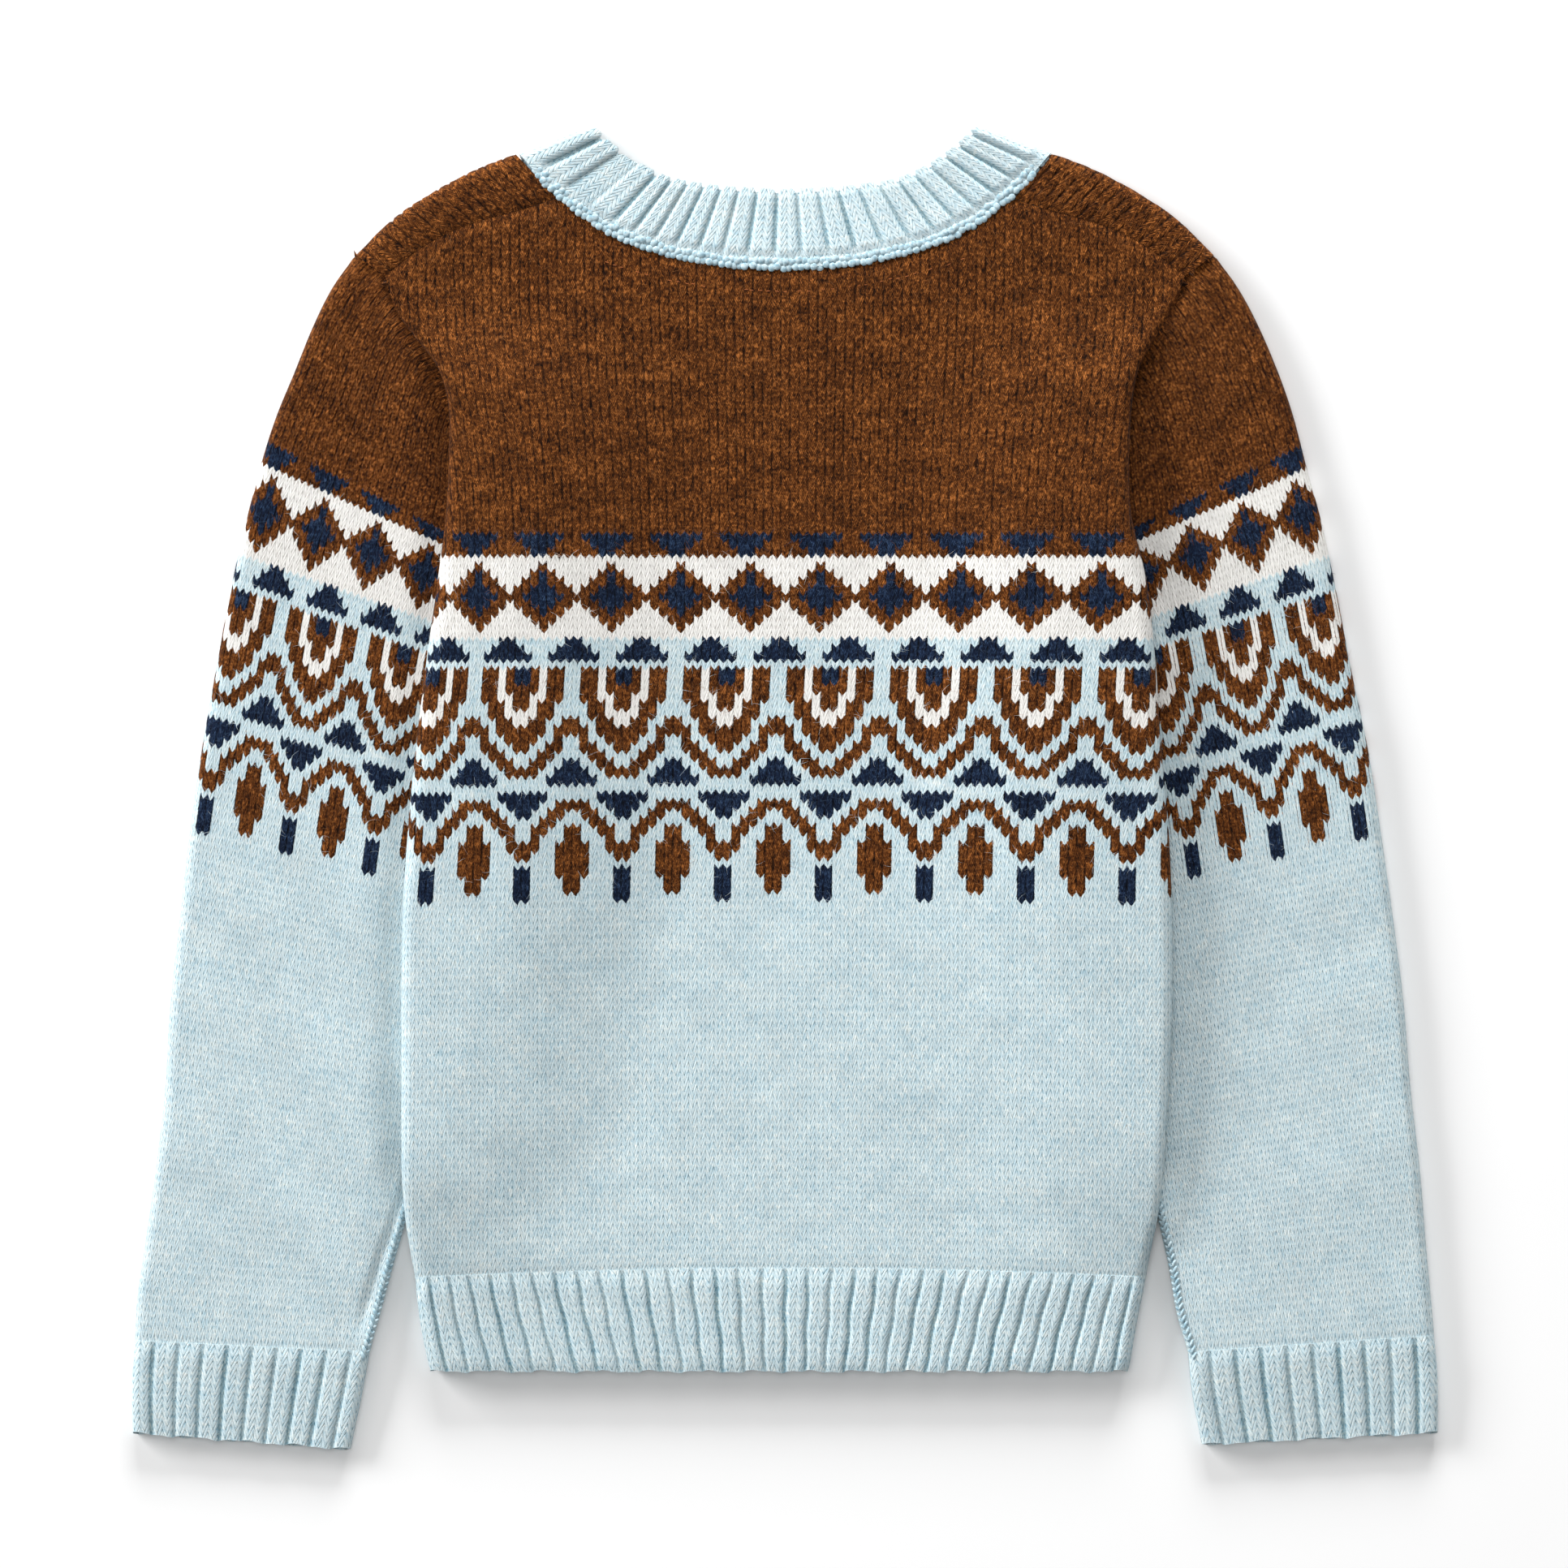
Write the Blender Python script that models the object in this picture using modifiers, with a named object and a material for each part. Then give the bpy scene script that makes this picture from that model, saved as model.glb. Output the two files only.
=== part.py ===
"""A child's fair isle jumper, knitted in wool and laid flat, face down, sleeves at its sides.

X runs to the right, Y to the neck, Z up from the surface that the jumper lies on. The origin is
on that surface, below the middle of the jumper. Lengths in the tables are millimetres, and x in
them is the distance from the middle, to the left or to the right.

Every piece is a wall of cloth. Its outer skin is a grid whose points are worked out from the
tables, and Solidify gives it its thickness towards the inside. Ribs are raised afterwards, in
the outer skin only. The body is a flattened tube: the front panel lies on the surface, climbs
over the tucked edges of the sleeves and comes over the shoulders to the shoulder seams, and the
back panel lies over it.
"""
import math

import bmesh
import bpy
import numpy as np

MM = 0.001
LEFT, RIGHT = -1, 1

# Cloth and seams
CLOTH = 2.4              # thickness of the knitted cloth
SEAM = 0.6               # gap between the corners of two pieces that are sewn together
SIDE_SEAM = 1.0          # and where the seam rolls round the side of the body
BODY_HEIGHT = 8.0        # two layers of the body and the air between them
SLEEVE_HEIGHT = 7.6      # the same, for a sleeve
TUCK_LIFT = 8.3          # how high the sides of the body lie, over the sleeves
RAMP = 30.0              # breadth over which the front panel climbs to that height
DRAPE = 36.0             # breadth over which the back panel does
RAMP_END = 2.0           # the front panel is at that height this far inside the sleeve's edge
FOLD_LANDING = 20.0      # how soon the neckline comes down from the shoulder fold

# Ribbing: plain stitches stand proud, with a narrow furrow between two ribs
RIB_HEIGHT = 1.1
HEM_RIBS = 34
CUFF_RIBS = 10
NECK_RIBS = 28
RIB_SHAPE = ((0.13, 0.0), (0.28, 1.0), (0.72, 1.0), (0.87, 0.0))   # place in the pitch, height

# The body from the welt to the tip of the shoulder. left, right: the fold at each side, as it
# lies. turned: cloth that goes on past the fold, down and under, to the seam. tuck: the sleeve's
# hidden edge. lift: height of the underside over it, as a share of TUCK_LIFT. armhole: x of the
# front panel's edge where the armhole is open, else 0.
BODY_COLUMNS = ("y", "left", "right", "turned", "tuck", "lift", "armhole")
BODY_ROWS = (
    (-199.0, 150.5, 147.0, 2.2, 132.0, 0.00, 0),
    (-187.0, 152.6, 149.2, 2.2, 139.0, 0.30, 0),
    (-176.0, 154.2, 151.4, 2.2, 146.0, 0.80, 0),
    (-163.0, 155.4, 153.2, 2.4, 147.0, 1.00, 0),
    (-139.0, 155.8, 154.8, 2.6, 142.0, 1.00, 0),
    (-110.0, 155.8, 156.6, 3.0, 135.0, 1.00, 0),
    (-80.0, 155.8, 157.4, 3.2, 129.0, 1.00, 0),
    (-50.0, 155.2, 157.2, 3.8, 123.0, 1.00, 0),
    (-16.0, 153.0, 155.8, 6.0, 118.5, 1.00, 0),
    (20.0, 149.4, 152.6, 9.0, 117.0, 1.00, 0),
    (55.0, 145.0, 150.2, 12.0, 116.5, 1.00, 0),
    (85.0, 140.8, 146.6, 15.0, 116.5, 1.00, 0),
    (112.0, 137.6, 140.6, 16.5, 117.0, 1.00, 0),
    (138.0, 136.4, 140.0, 13.0, 119.0, 1.00, 0),
    (156.0, 136.8, 141.2, 9.0, 125.0, 1.00, 0),
    (170.3, 140.9, 144.0, 8.4, 130.0, 0.92, 133.4),
    (188.0, 154.6, 154.6, 0.8, 132.0, 0.30, 149.6),
    (207.9, 166.9, 166.9, -4.3, 130.0, 0.00, 162.6),
)
WELT_ROWS = (
    (-237.6, 144.2, 139.6, 2.2, 128.0, 0.00, 0),
    (-219.0, 147.9, 142.8, 2.2, 130.0, 0.00, 0),
    (-199.5, 150.4, 146.9, 2.2, 132.0, 0.00, 0),
)
WELT_ARCH = 4.0          # the welt starts this much higher in the middle

# Half outlines, from the middle to the shoulder fold: x, y
NECK_BACK_SEAM = ((0, 211.0), (30, 213.3), (57, 219.4), (80, 230.6), (91.4, 239.9), (101, 249.4),
                  (108.5, 258.2))
NECK_BACK_EDGE = ((0, 242.6), (30, 244.6), (50, 248.6), (62, 255.0), (71, 261.6), (79, 269.4))
NECK_FRONT_SEAM = ((0, 186.5), (32, 188.2), (62, 195.0), (88, 211.0), (103, 233.0), (108.5, 258.2))
NECK_FRONT_EDGE = ((0, 217.8), (28, 219.4), (50, 225.0), (66, 237.0), (75, 251.0), (79, 269.4))
NECK_DROOP = 3.0         # how far the free edge of the neckband sinks at the middle

# From the neck to the tip of the shoulder: x, y
SHOULDER_SEAM = ((91.4, 239.9), (104, 235.6), (121, 231.0), (134, 226.6), (149, 218.4), (162.6, 207.9))
SHOULDER_FOLD = ((108.5, 258.2), (126, 251.4), (142, 243.0), (156, 234.0), (166, 225.4), (174.6, 216.5))
# From the shoulder fold down to the underarm: x, y
ARMHOLE = ((174.6, 216.5), (162.6, 207.9), (154.6, 188.0), (140.9, 170.3), (121.8, 118.8))

# The sleeves from the armhole to the cuff: the outer edge, the inner edge, and how far the row
# still follows the line of the armhole.
SLEEVE_COLUMNS = ("outer_x", "outer_y", "inner_x", "inner_y", "armhole")
SLEEVE_LEFT = (
    (174.6, 216.5, 121.8, 118.8, 1.00),
    (184.0, 203.5, 121.1, 114.8, 0.70),
    (191.8, 188.0, 120.5, 110.2, 0.40),
    (199.8, 168.3, 119.8, 104.9, 0.18),
    (207.0, 150.8, 119.1, 98.3, 0.05),
    (213.0, 132.0, 118.5, 89.8, 0.00),
    (219.5, 107.2, 118.2, 70.6, 0.00),
    (225.2, 81.8, 118.2, 45.5, 0.00),
    (231.2, 49.5, 119.2, 14.8, 0.00),
    (236.8, 18.2, 121.1, -13.9, 0.00),
    (242.0, -16.5, 125.1, -45.2, 0.00),
    (246.4, -54.5, 131.0, -78.2, 0.00),
    (250.2, -89.1, 138.0, -109.9, 0.00),
    (252.2, -122.1, 145.2, -139.6, 0.00),
    (256.0, -155.1, 152.0, -168.3, 0.00),
    (260.2, -184.8, 159.2, -194.0, 0.00),
    (263.4, -206.2, 164.4, -213.5, 0.00),
    (264.6, -224.4, 168.8, -229.0, 0.00),
)
SLEEVE_RIGHT = (
    (174.6, 216.5, 121.8, 118.8, 1.00),
    (184.2, 203.5, 121.1, 114.8, 0.70),
    (192.6, 188.0, 120.5, 110.2, 0.40),
    (201.0, 168.3, 119.8, 104.9, 0.18),
    (207.0, 150.8, 119.1, 98.3, 0.05),
    (212.4, 130.0, 118.5, 89.8, 0.00),
    (218.6, 107.2, 118.2, 70.6, 0.00),
    (224.4, 79.8, 118.2, 45.5, 0.00),
    (230.6, 47.5, 119.2, 14.8, 0.00),
    (237.2, 16.2, 121.1, -13.9, 0.00),
    (242.6, -18.5, 125.1, -45.2, 0.00),
    (248.0, -56.5, 130.5, -78.2, 0.00),
    (252.0, -89.1, 137.0, -110.9, 0.00),
    (254.6, -122.1, 143.5, -140.6, 0.00),
    (258.4, -155.1, 150.3, -169.3, 0.00),
    (260.8, -184.8, 156.0, -194.0, 0.00),
    (262.8, -206.2, 159.6, -214.5, 0.00),
    (264.2, -222.4, 164.0, -229.0, 0.00),
)
CUFF_LEFT = ((264.6, -225.0, 168.9, -229.6), (265.8, -243.5, 172.4, -248.6), (265.4, -262.8, 176.8, -269.4))
CUFF_RIGHT = ((264.2, -223.0, 164.1, -229.6), (265.7, -240.5, 166.0, -247.8), (265.8, -262.6, 169.8, -267.4))

# Colours of the yarns, as red, green and blue from 0 to 1
BROWN = (0.105, 0.036, 0.011)
LIGHT_BLUE = (0.56, 0.66, 0.69)


def smooth(share):
    """0 below 0, 1 above 1, and an even rise between."""
    share = min(1.0, max(0.0, share))
    return share * share * (3 - 2 * share)


def steps(stops, counts):
    """Numbers from the first stop to the last, with a given count of equal steps between two."""
    values = [stops[0]]
    for low, high, count in zip(stops, stops[1:], counts):
        values += [low + (high - low) * k / count for k in range(1, count + 1)]
    return values


def along(points, share, smooth_line=True):
    """The point at a share of the length of a line through the points, smooth or straight."""
    points = np.asarray(points, float)
    lengths = np.linalg.norm(np.diff(points, axis=0), axis=1)
    knots = np.concatenate(([0.0], np.cumsum(lengths))) / lengths.sum()
    k = min(len(lengths) - 1, max(0, int(np.searchsorted(knots, share, side="right")) - 1))
    span = knots[k + 1] - knots[k]
    f = (min(1.0, max(0.0, share)) - knots[k]) / span
    if not smooth_line:
        return points[k] * (1 - f) + points[k + 1] * f

    def slope(i):
        low, high = max(0, i - 1), min(len(points) - 1, i + 1)
        return span * (points[high] - points[low]) / (knots[high] - knots[low])

    return ((2 * f**3 - 3 * f**2 + 1) * points[k] + (f**3 - 2 * f**2 + f) * slope(k)
            + (3 * f**2 - 2 * f**3) * points[k + 1] + (f**3 - f**2) * slope(k + 1))


def share_at(points, point):
    """The share of the length at which a line passes one of its own points."""
    points = np.asarray(points, float)
    lengths = np.linalg.norm(np.diff(points, axis=0), axis=1)
    place = int(np.argmin(np.linalg.norm(points - point, axis=1)))
    return lengths[:place].sum() / lengths.sum()


def toward(start, end, distance):
    """The point at a distance from start on the way to end."""
    way = np.asarray(end, float) - np.asarray(start, float)
    return start + way * distance / np.linalg.norm(way)


# ---- From a grid of points to a wall of cloth

def wall(name, points, colour, ring=False, ribs=None, keep=None):
    """A piece of cloth whose outer skin has the points, listed by row and column in millimetres.

    Seen from outside, the columns run to the right and the rows upward. A ring's last column is
    its first again. ribs holds the height that each point is raised by once the wall has its
    thickness, and keep(row, column) says which faces of the grid the piece has.
    """
    points = np.asarray(points, float)
    rows, columns = points.shape[0] - 1, points.shape[1] - 1
    mesh = bpy.data.meshes.new(name)
    bm = bmesh.new()
    bmesh.ops.create_grid(bm, x_segments=columns, y_segments=rows, size=1.0)
    if keep is not None:
        spare = []
        for face in bm.faces:
            middle = face.calc_center_median()
            if not keep(int((middle.y + 1) / 2 * rows), int((middle.x + 1) / 2 * columns)):
                spare.append(face)
        bmesh.ops.delete(bm, geom=spare, context="FACES")
    layer = bm.verts.layers.float.new("rib")
    for vert in bm.verts:
        row = round((vert.co.y + 1) / 2 * rows)
        column = round((vert.co.x + 1) / 2 * columns)
        if ribs is not None:
            vert[layer] = ribs[row][column]
        vert.co = points[row][column] * MM
    if ring:
        bmesh.ops.remove_doubles(bm, verts=bm.verts, dist=WELD * MM)
    bm.to_mesh(mesh)
    bm.free()

    skin = bpy.data.objects.new(name + "_skin", mesh)
    bpy.context.scene.collection.objects.link(skin)
    solidify = skin.modifiers.new("Cloth", "SOLIDIFY")
    solidify.thickness = CLOTH * MM
    solidify.offset = -1.0
    shell = bpy.data.meshes.new_from_object(skin.evaluated_get(bpy.context.evaluated_depsgraph_get()))
    outward = [vert.normal.copy() for vert in mesh.vertices]
    heights = [item.value for item in mesh.attributes["rib"].data]
    for vert, normal, height in zip(shell.vertices, outward, heights):
        vert.co += normal * height * MM
    shell.attributes.remove(shell.attributes["rib"])
    shell.name = name
    bpy.data.objects.remove(skin)
    bpy.data.meshes.remove(mesh)

    piece = bpy.data.objects.new(name, shell)
    shell.shade_smooth()
    shell.set_sharp_from_angle(angle=math.radians(CREASE_ANGLE))
    shell.materials.clear()
    shell.materials.append(yarn(name, colour))
    return piece


def yarn(name, colour):
    material = bpy.data.materials.new(name + "_wool")
    material.use_nodes = True
    shader = material.node_tree.nodes["Principled BSDF"]
    shader.inputs["Base Color"].default_value = (*colour, 1.0)
    shader.inputs["Roughness"].default_value = 0.9
    shader.inputs["Metallic"].default_value = 0.0
    return material


def rib_steps(start, end, count):
    """Places from start to end and the rib's height at each, for a count of ribs between them."""
    places, heights = [], []
    for rib in range(count):
        for place, height in RIB_SHAPE:
            places.append(start + (end - start) * (rib + place) / count)
            heights.append(height * RIB_HEIGHT)
    return places, heights


# ---- The body

class Section:
    """One cross-section of the body, on one side of its middle."""

    def __init__(self, row, side):
        values = dict(zip(BODY_COLUMNS, row))
        self.side = side
        self.y = values["y"]
        self.edge = values["left"] if side == LEFT else values["right"]
        self.cloth = self.edge + values["turned"]
        self.tuck = values["tuck"]
        self.lift = values["lift"] * TUCK_LIFT
        self.armhole = values["armhole"]
        self.radius = (self.top(self.edge) - self.lift) / 2
        self.flat = self.edge - self.radius

    def top(self, x):
        return BODY_HEIGHT + self.lift * smooth((x - self.tuck + DRAPE) / DRAPE)

    def underside(self, x):
        return self.lift * smooth((x - self.tuck + RAMP) / (RAMP - RAMP_END))

    def round_fold(self, cloth):
        """x and z of the outer skin, at a breadth of cloth from the middle of the back."""
        if cloth <= self.flat:
            return cloth, self.top(cloth)
        angle = (cloth - self.flat) / self.radius
        if angle > math.pi:
            return self.flat - (angle - math.pi) * self.radius, self.lift
        return (self.flat + self.radius * math.sin(angle),
                self.lift + self.radius * (1 + math.cos(angle)))

    def front_side(self):
        """x and z of the front panel's side, from its edge at the seam inward to the underside."""
        round_angle = (self.cloth + SIDE_SEAM - self.flat) / self.radius
        if self.armhole or round_angle >= math.pi:
            edge = self.armhole or self.flat - (round_angle - math.pi) * self.radius
            return [(edge - k * SIDE_STEP, self.lift) for k in range(SIDE_COLUMNS + 1)]
        angles = steps((round_angle, round_angle + SELVEDGE / self.radius, math.pi), (1, SIDE_COLUMNS - 1))
        return [(self.flat + self.radius * math.sin(angle), self.lift + self.radius * (1 + math.cos(angle)))
                for angle in angles]


SIDE_COLUMNS = 4                 # columns of the front panel next to its side seam
SIDE_STEP = 0.8                  # and their breadth where that seam lies underneath
SELVEDGE = 0.15                  # the column at a seam is this narrow, which keeps its edge square
WELD = 0.01                      # points of a grid nearer than this are one
CREASE_ANGLE = 40                # degrees, above which an edge is sharp
BACK_COUNTS = (8, 4, 5, 1)       # columns: below the neck, below the shoulder, round the side, selvedge
BACK_RISE_POWER = 4              # the higher, the nearer to the shoulders the rows begin to slant
BACK_NECK_SPAN = 0.6             # share of the flat breadth that ends below the neck


def back_half(side):
    """Rows of points of the back panel, from the middle outward."""
    sections = [Section(row, side) for row in BODY_ROWS]
    bottom, top = sections[0].y, sections[-1].y
    breadths = []
    for section in sections:
        level = min(section.flat, section.cloth - BACK_COUNTS[2] * SIDE_STEP)
        stops = (0, level * BACK_NECK_SPAN, level, section.cloth - SELVEDGE, section.cloth)
        breadths.append(steps(stops, BACK_COUNTS))
    rows = []
    for section, cloth in zip(sections, breadths):
        rise = (section.y - bottom) / (top - bottom)
        row = []
        for k, breadth in enumerate(cloth):
            x, z = section.round_fold(breadth)
            end = back_end(k, breadths[-1])
            weight = rise ** BACK_RISE_POWER
            x += (end[0] - breadths[-1][k]) * weight
            arch = WELT_ARCH * (1 - (breadth / section.cloth) ** 2) * (1 - rise) ** 2
            y = section.y + (end[1] - top) * weight + arch
            row.append((side * x, y, z))
        rows.append(row)
    return rows


def back_end(column, cloth):
    """Where a column of the back panel ends: at the neck seam or at the shoulder seam."""
    neck, shoulder = BACK_COUNTS[0], sum(BACK_COUNTS)
    if column <= neck:
        return along(NECK_BACK_SEAM, share_at(NECK_BACK_SEAM, SHOULDER_SEAM[0]) * column / neck)
    share = (cloth[column] - cloth[neck]) / (cloth[shoulder] - cloth[neck])
    return along(SHOULDER_SEAM, share)


def mirror_rows(half):
    """Rows from the left edge to the right one, of a function that gives the rows of one side."""
    return [left[::-1] + right[1:] for left, right in zip(half(LEFT), half(RIGHT))]


def back_panel():
    return wall("back_panel", mirror_rows(back_half), BROWN)


FRONT_COUNTS = (8, 4, 2)         # columns: below the neck, up the ramp, over the sleeve
FRONT_RISE_POWER = 5             # as for the back panel
RAMP_MARGIN = 1.0                # the columns of the ramp begin this much before it
FRONT_LAST = sum(FRONT_COUNTS) + SIDE_COLUMNS
FOLD_ANGLES = (0, 45, 90)        # rows from the underside round to the shoulder fold
TAB_ANGLES = (135, 180)          # rows from the fold to the upper side
TAB_ROWS = 2                     # rows from there to the shoulder seam


def front_half(side):
    """Rows of points of the front panel, from the middle outward, and over the shoulder."""
    sections = [Section(row, side) for row in BODY_ROWS]
    bottom, top = sections[0].y, SHOULDER_FOLD[-1][1]
    neck, last = FRONT_COUNTS[0], FRONT_LAST
    radius = BODY_HEIGHT / 2
    fold, fold_height = [], []
    for k in range(last + 1):
        if k < neck:
            point = along(NECK_FRONT_SEAM, k / neck)
            gap = np.linalg.norm(point - NECK_FRONT_SEAM[-1])
            fold_height.append(radius * math.exp(-gap / FOLD_LANDING))
        else:
            point = along(SHOULDER_FOLD, (k - neck) / (last - neck))
            fold_height.append(radius)
        fold.append(point)
    tip = [x for x, _ in front_outline(sections[-1])]
    rows = []
    for section in sections:
        outline = front_outline(section)
        rise = (section.y - bottom) / (top - bottom)
        weight = rise ** FRONT_RISE_POWER
        row = []
        for k, (x, z) in enumerate(outline):
            y = section.y + WELT_ARCH * (1 - (x / section.edge) ** 2) * (1 - rise) ** 2
            if k < last:
                y += (fold[k][1] - top) * weight
                x += (fold[k][0] - tip[k]) * weight * min(1.0, (last - k) / (last - neck))
            row.append((side * x, y, z))
        rows.append(row)
    before = [np.array((side * x, y)) for x, y, _ in rows[-1]]
    for angle in FOLD_ANGLES:
        turn = math.radians(angle)
        row = []
        for k in range(last + 1):
            x, y = toward(fold[k], before[k], radius * (1 - math.sin(turn)))
            row.append((side * x, y, fold_height[k] * (1 - math.cos(turn))))
        rows.append(row)
    for angle in TAB_ANGLES:
        rows.append([tab_point(side, k, math.radians(angle), 0) for k in range(last + 1)])
    for step in range(1, TAB_ROWS + 1):
        rows.append([tab_point(side, k, math.pi, step / TAB_ROWS) for k in range(last + 1)])
    return rows


def front_outline(section):
    """x and z of the front panel across one section, from the middle to the side seam."""
    seam = section.front_side()[::-1]
    ramp = section.tuck - RAMP_MARGIN
    inner = steps((0, ramp - RAMP, ramp, seam[0][0]), FRONT_COUNTS)
    return [(x, section.underside(x)) for x in inner[:-1]] + seam


def tab_point(side, column, turn, share):
    """A point where the front panel lies on the back: round the fold, then on to the seam."""
    neck, last = FRONT_COUNTS[0], FRONT_LAST
    place = max(0.0, (column - neck) / (last - neck))
    radius = BODY_HEIGHT / 2
    fold, seam = along(SHOULDER_FOLD, place), along(SHOULDER_SEAM, place)
    seam = toward(seam, fold, SEAM)
    start = toward(fold, seam, radius * (1 - math.sin(turn)))
    x, y = start * (1 - share) + seam * share
    return (side * x, y, radius * (1 - math.cos(turn)))


def front_panel():
    rows = [row[::-1] for row in mirror_rows(front_half)]
    fold_row = len(BODY_ROWS) + len(FOLD_ANGLES) - 1
    tab = FRONT_LAST - FRONT_COUNTS[0]
    last = len(rows[0]) - 1

    def keep(row, column):
        return row < fold_row or column < tab or column >= last - tab

    return wall("front_panel", rows, BROWN, keep=keep)


WELT_COLUMNS = 8                 # columns of the front welt from its middle to where it rounds up


def welt_level(x, edge, row):
    """Height in the flat of a point of the welt, whose top line is arched."""
    share = row / (len(WELT_ROWS) - 1)
    return WELT_ROWS[row][0] + WELT_ARCH * share * (1 - (x / edge) ** 2)


def hem_rib_back():
    rows, ribs = [], []
    for k, values in enumerate(WELT_ROWS):
        left, right = Section(values, LEFT), Section(values, RIGHT)
        places, heights = rib_steps(-left.cloth, right.cloth, HEM_RIBS)
        places = [-left.cloth, SELVEDGE - left.cloth] + places + [right.cloth - SELVEDGE, right.cloth]
        row = []
        for place in places:
            section = left if place < 0 else right
            x, z = section.round_fold(abs(place))
            row.append((math.copysign(x, place), welt_level(x, section.edge, k), z))
        rows.append(row)
        ribs.append([0.0, 0.0] + heights + [0.0, 0.0])
    return wall("hem_rib_back", rows, LIGHT_BLUE, ribs=ribs)


def hem_rib_front():
    def half(side):
        rows = []
        for k, values in enumerate(WELT_ROWS):
            section = Section(values, side)
            seam = section.front_side()[::-1]
            outline = [(x, 0.0) for x in steps((0, seam[0][0]), (WELT_COLUMNS,))[:-1]] + seam
            rows.append([(side * x, welt_level(x, section.edge, k), z) for x, z in outline])
        return rows

    return wall("hem_rib_front", [row[::-1] for row in mirror_rows(half)], LIGHT_BLUE)


# ---- Sleeves and cuffs: flattened tubes

ROUND_ANGLES = (0, 45, 90)       # points of a rounded side, from its edge to the flat
TUBE_TOP = (0.22, 0.42, 0.64, 0.76, 0.88)
TUBE_UNDER = (0.76,)
CUFF_UNDER = (0.25, 0.5, 0.75)
OFF_ARMHOLE = (1.0, -0.8)        # way from the armhole to the sleeve, in seam gaps


def tube_ring(width, height, top, under):
    """Stations round a flattened tube: share of the breadth from its outer edge, height, rib or not."""
    radius = height / 2
    turns = [math.radians(angle) for angle in ROUND_ANGLES]
    rounds = [(radius * (1 - math.cos(turn)) / width, radius * math.sin(turn)) for turn in turns]
    ring = [(inset, radius + rise) for inset, rise in rounds]
    ring += [(share, height) for share in top]
    ring += [(1 - inset, radius + rise) for inset, rise in rounds[::-1]]
    ring += [(1 - inset, radius - rise) for inset, rise in rounds[1:]]
    ring += [(share, 0.0) for share in under[::-1]]
    ring += [(inset, radius - rise) for inset, rise in rounds[::-1]]
    return ring


def sleeve(name, side, table):
    corners = [share_at(ARMHOLE, point) for point in ARMHOLE[1:-1]]
    top = sorted(corners + list(TUBE_TOP))
    under = sorted(corners + list(TUBE_UNDER))
    start, end = np.array(ARMHOLE[0]), np.array(ARMHOLE[-1])
    away = np.array(OFF_ARMHOLE) * SEAM
    rows = []
    for values in table:
        row = dict(zip(SLEEVE_COLUMNS, values))
        outer = np.array((row["outer_x"], row["outer_y"]))
        inner = np.array((row["inner_x"], row["inner_y"]))
        points = []
        for share, z in tube_ring(np.linalg.norm(outer - inner), SLEEVE_HEIGHT, top, under):
            bend = along(ARMHOLE, share, smooth_line=False) - (start + (end - start) * share) + away
            x, y = outer + (inner - outer) * share + bend * row["armhole"]
            points.append((side * x, y, z))
        rows.append(points if side == LEFT else points[::-1])
    return wall(name, rows[::-1], BROWN, ring=True)


def cuff(name, side, table):
    rows, ribs = [], []
    for outer_x, outer_y, inner_x, inner_y in table:
        outer, inner = np.array((outer_x, outer_y)), np.array((inner_x, inner_y))
        width = np.linalg.norm(outer - inner)
        margin = SLEEVE_HEIGHT / 2 / width
        places, heights = rib_steps(margin, 1 - margin, CUFF_RIBS)
        ring = tube_ring(width, SLEEVE_HEIGHT, places, CUFF_UNDER)
        lead = len(ROUND_ANGLES)
        raised = [0.0] * lead + heights + [0.0] * (len(ring) - lead - len(heights))
        points = [(*(outer + (inner - outer) * share), z) for share, z in ring]
        points = [(side * x, y, z) for x, y, z in points]
        rows.append(points if side == LEFT else points[::-1])
        ribs.append(raised if side == LEFT else raised[::-1])
    return wall(name, rows[::-1], LIGHT_BLUE, ring=True, ribs=ribs[::-1])


# ---- The neckband: a ring, its back over its front

NECK_ROWS = 3
NECK_HALF_LENGTH = 105.0         # half the length of the band as it lies, along its middle


def neckband():
    radius = BODY_HEIGHT / 2
    turns = [math.radians(angle) for angle in ROUND_ANGLES]
    margin = radius / NECK_HALF_LENGTH
    rounds = [(margin * (1 - math.cos(turn)), radius * math.sin(turn)) for turn in turns]
    places, heights = rib_steps(-1 + margin, 1 - margin, NECK_RIBS)
    back = [(-1 + inset, radius + rise) for inset, rise in rounds]
    back += [(place, BODY_HEIGHT) for place in places]
    back += [(1 - inset, radius + rise) for inset, rise in rounds[::-1]]
    front = [(1 - inset, radius - rise) for inset, rise in rounds[1:]]
    front += [(k / FRONT_COUNTS[0], 0.0) for k in range(FRONT_COUNTS[0] - 1, -FRONT_COUNTS[0], -1)]
    front += [(-1 + inset, radius - rise) for inset, rise in rounds[::-1]]
    raised = [0.0] * len(rounds) + heights
    raised += [0.0] * (len(back) + len(front) - len(raised))
    rows = []
    for k in range(NECK_ROWS + 1):
        share = k / NECK_ROWS
        row = [neck_point(NECK_BACK_SEAM, NECK_BACK_EDGE, place, share, z, NECK_DROOP) for place, z in back]
        row += [neck_point(NECK_FRONT_SEAM, NECK_FRONT_EDGE, place, share, z, 0.0) for place, z in front]
        rows.append(row)
    return wall("neckband", rows, LIGHT_BLUE, ring=True, ribs=[raised] * len(rows))


def neck_point(seam, edge, place, share, z, droop):
    """A point of the band, at a place from -1 at the left fold to 1 at the right one."""
    start, end = along(seam, abs(place)), along(edge, abs(place))
    start = toward(start, end, SEAM)
    x, y = start + (end - start) * share
    return (math.copysign(x, place), y, z - droop * share * (1 - place * place))


# ---- The jumper

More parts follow.
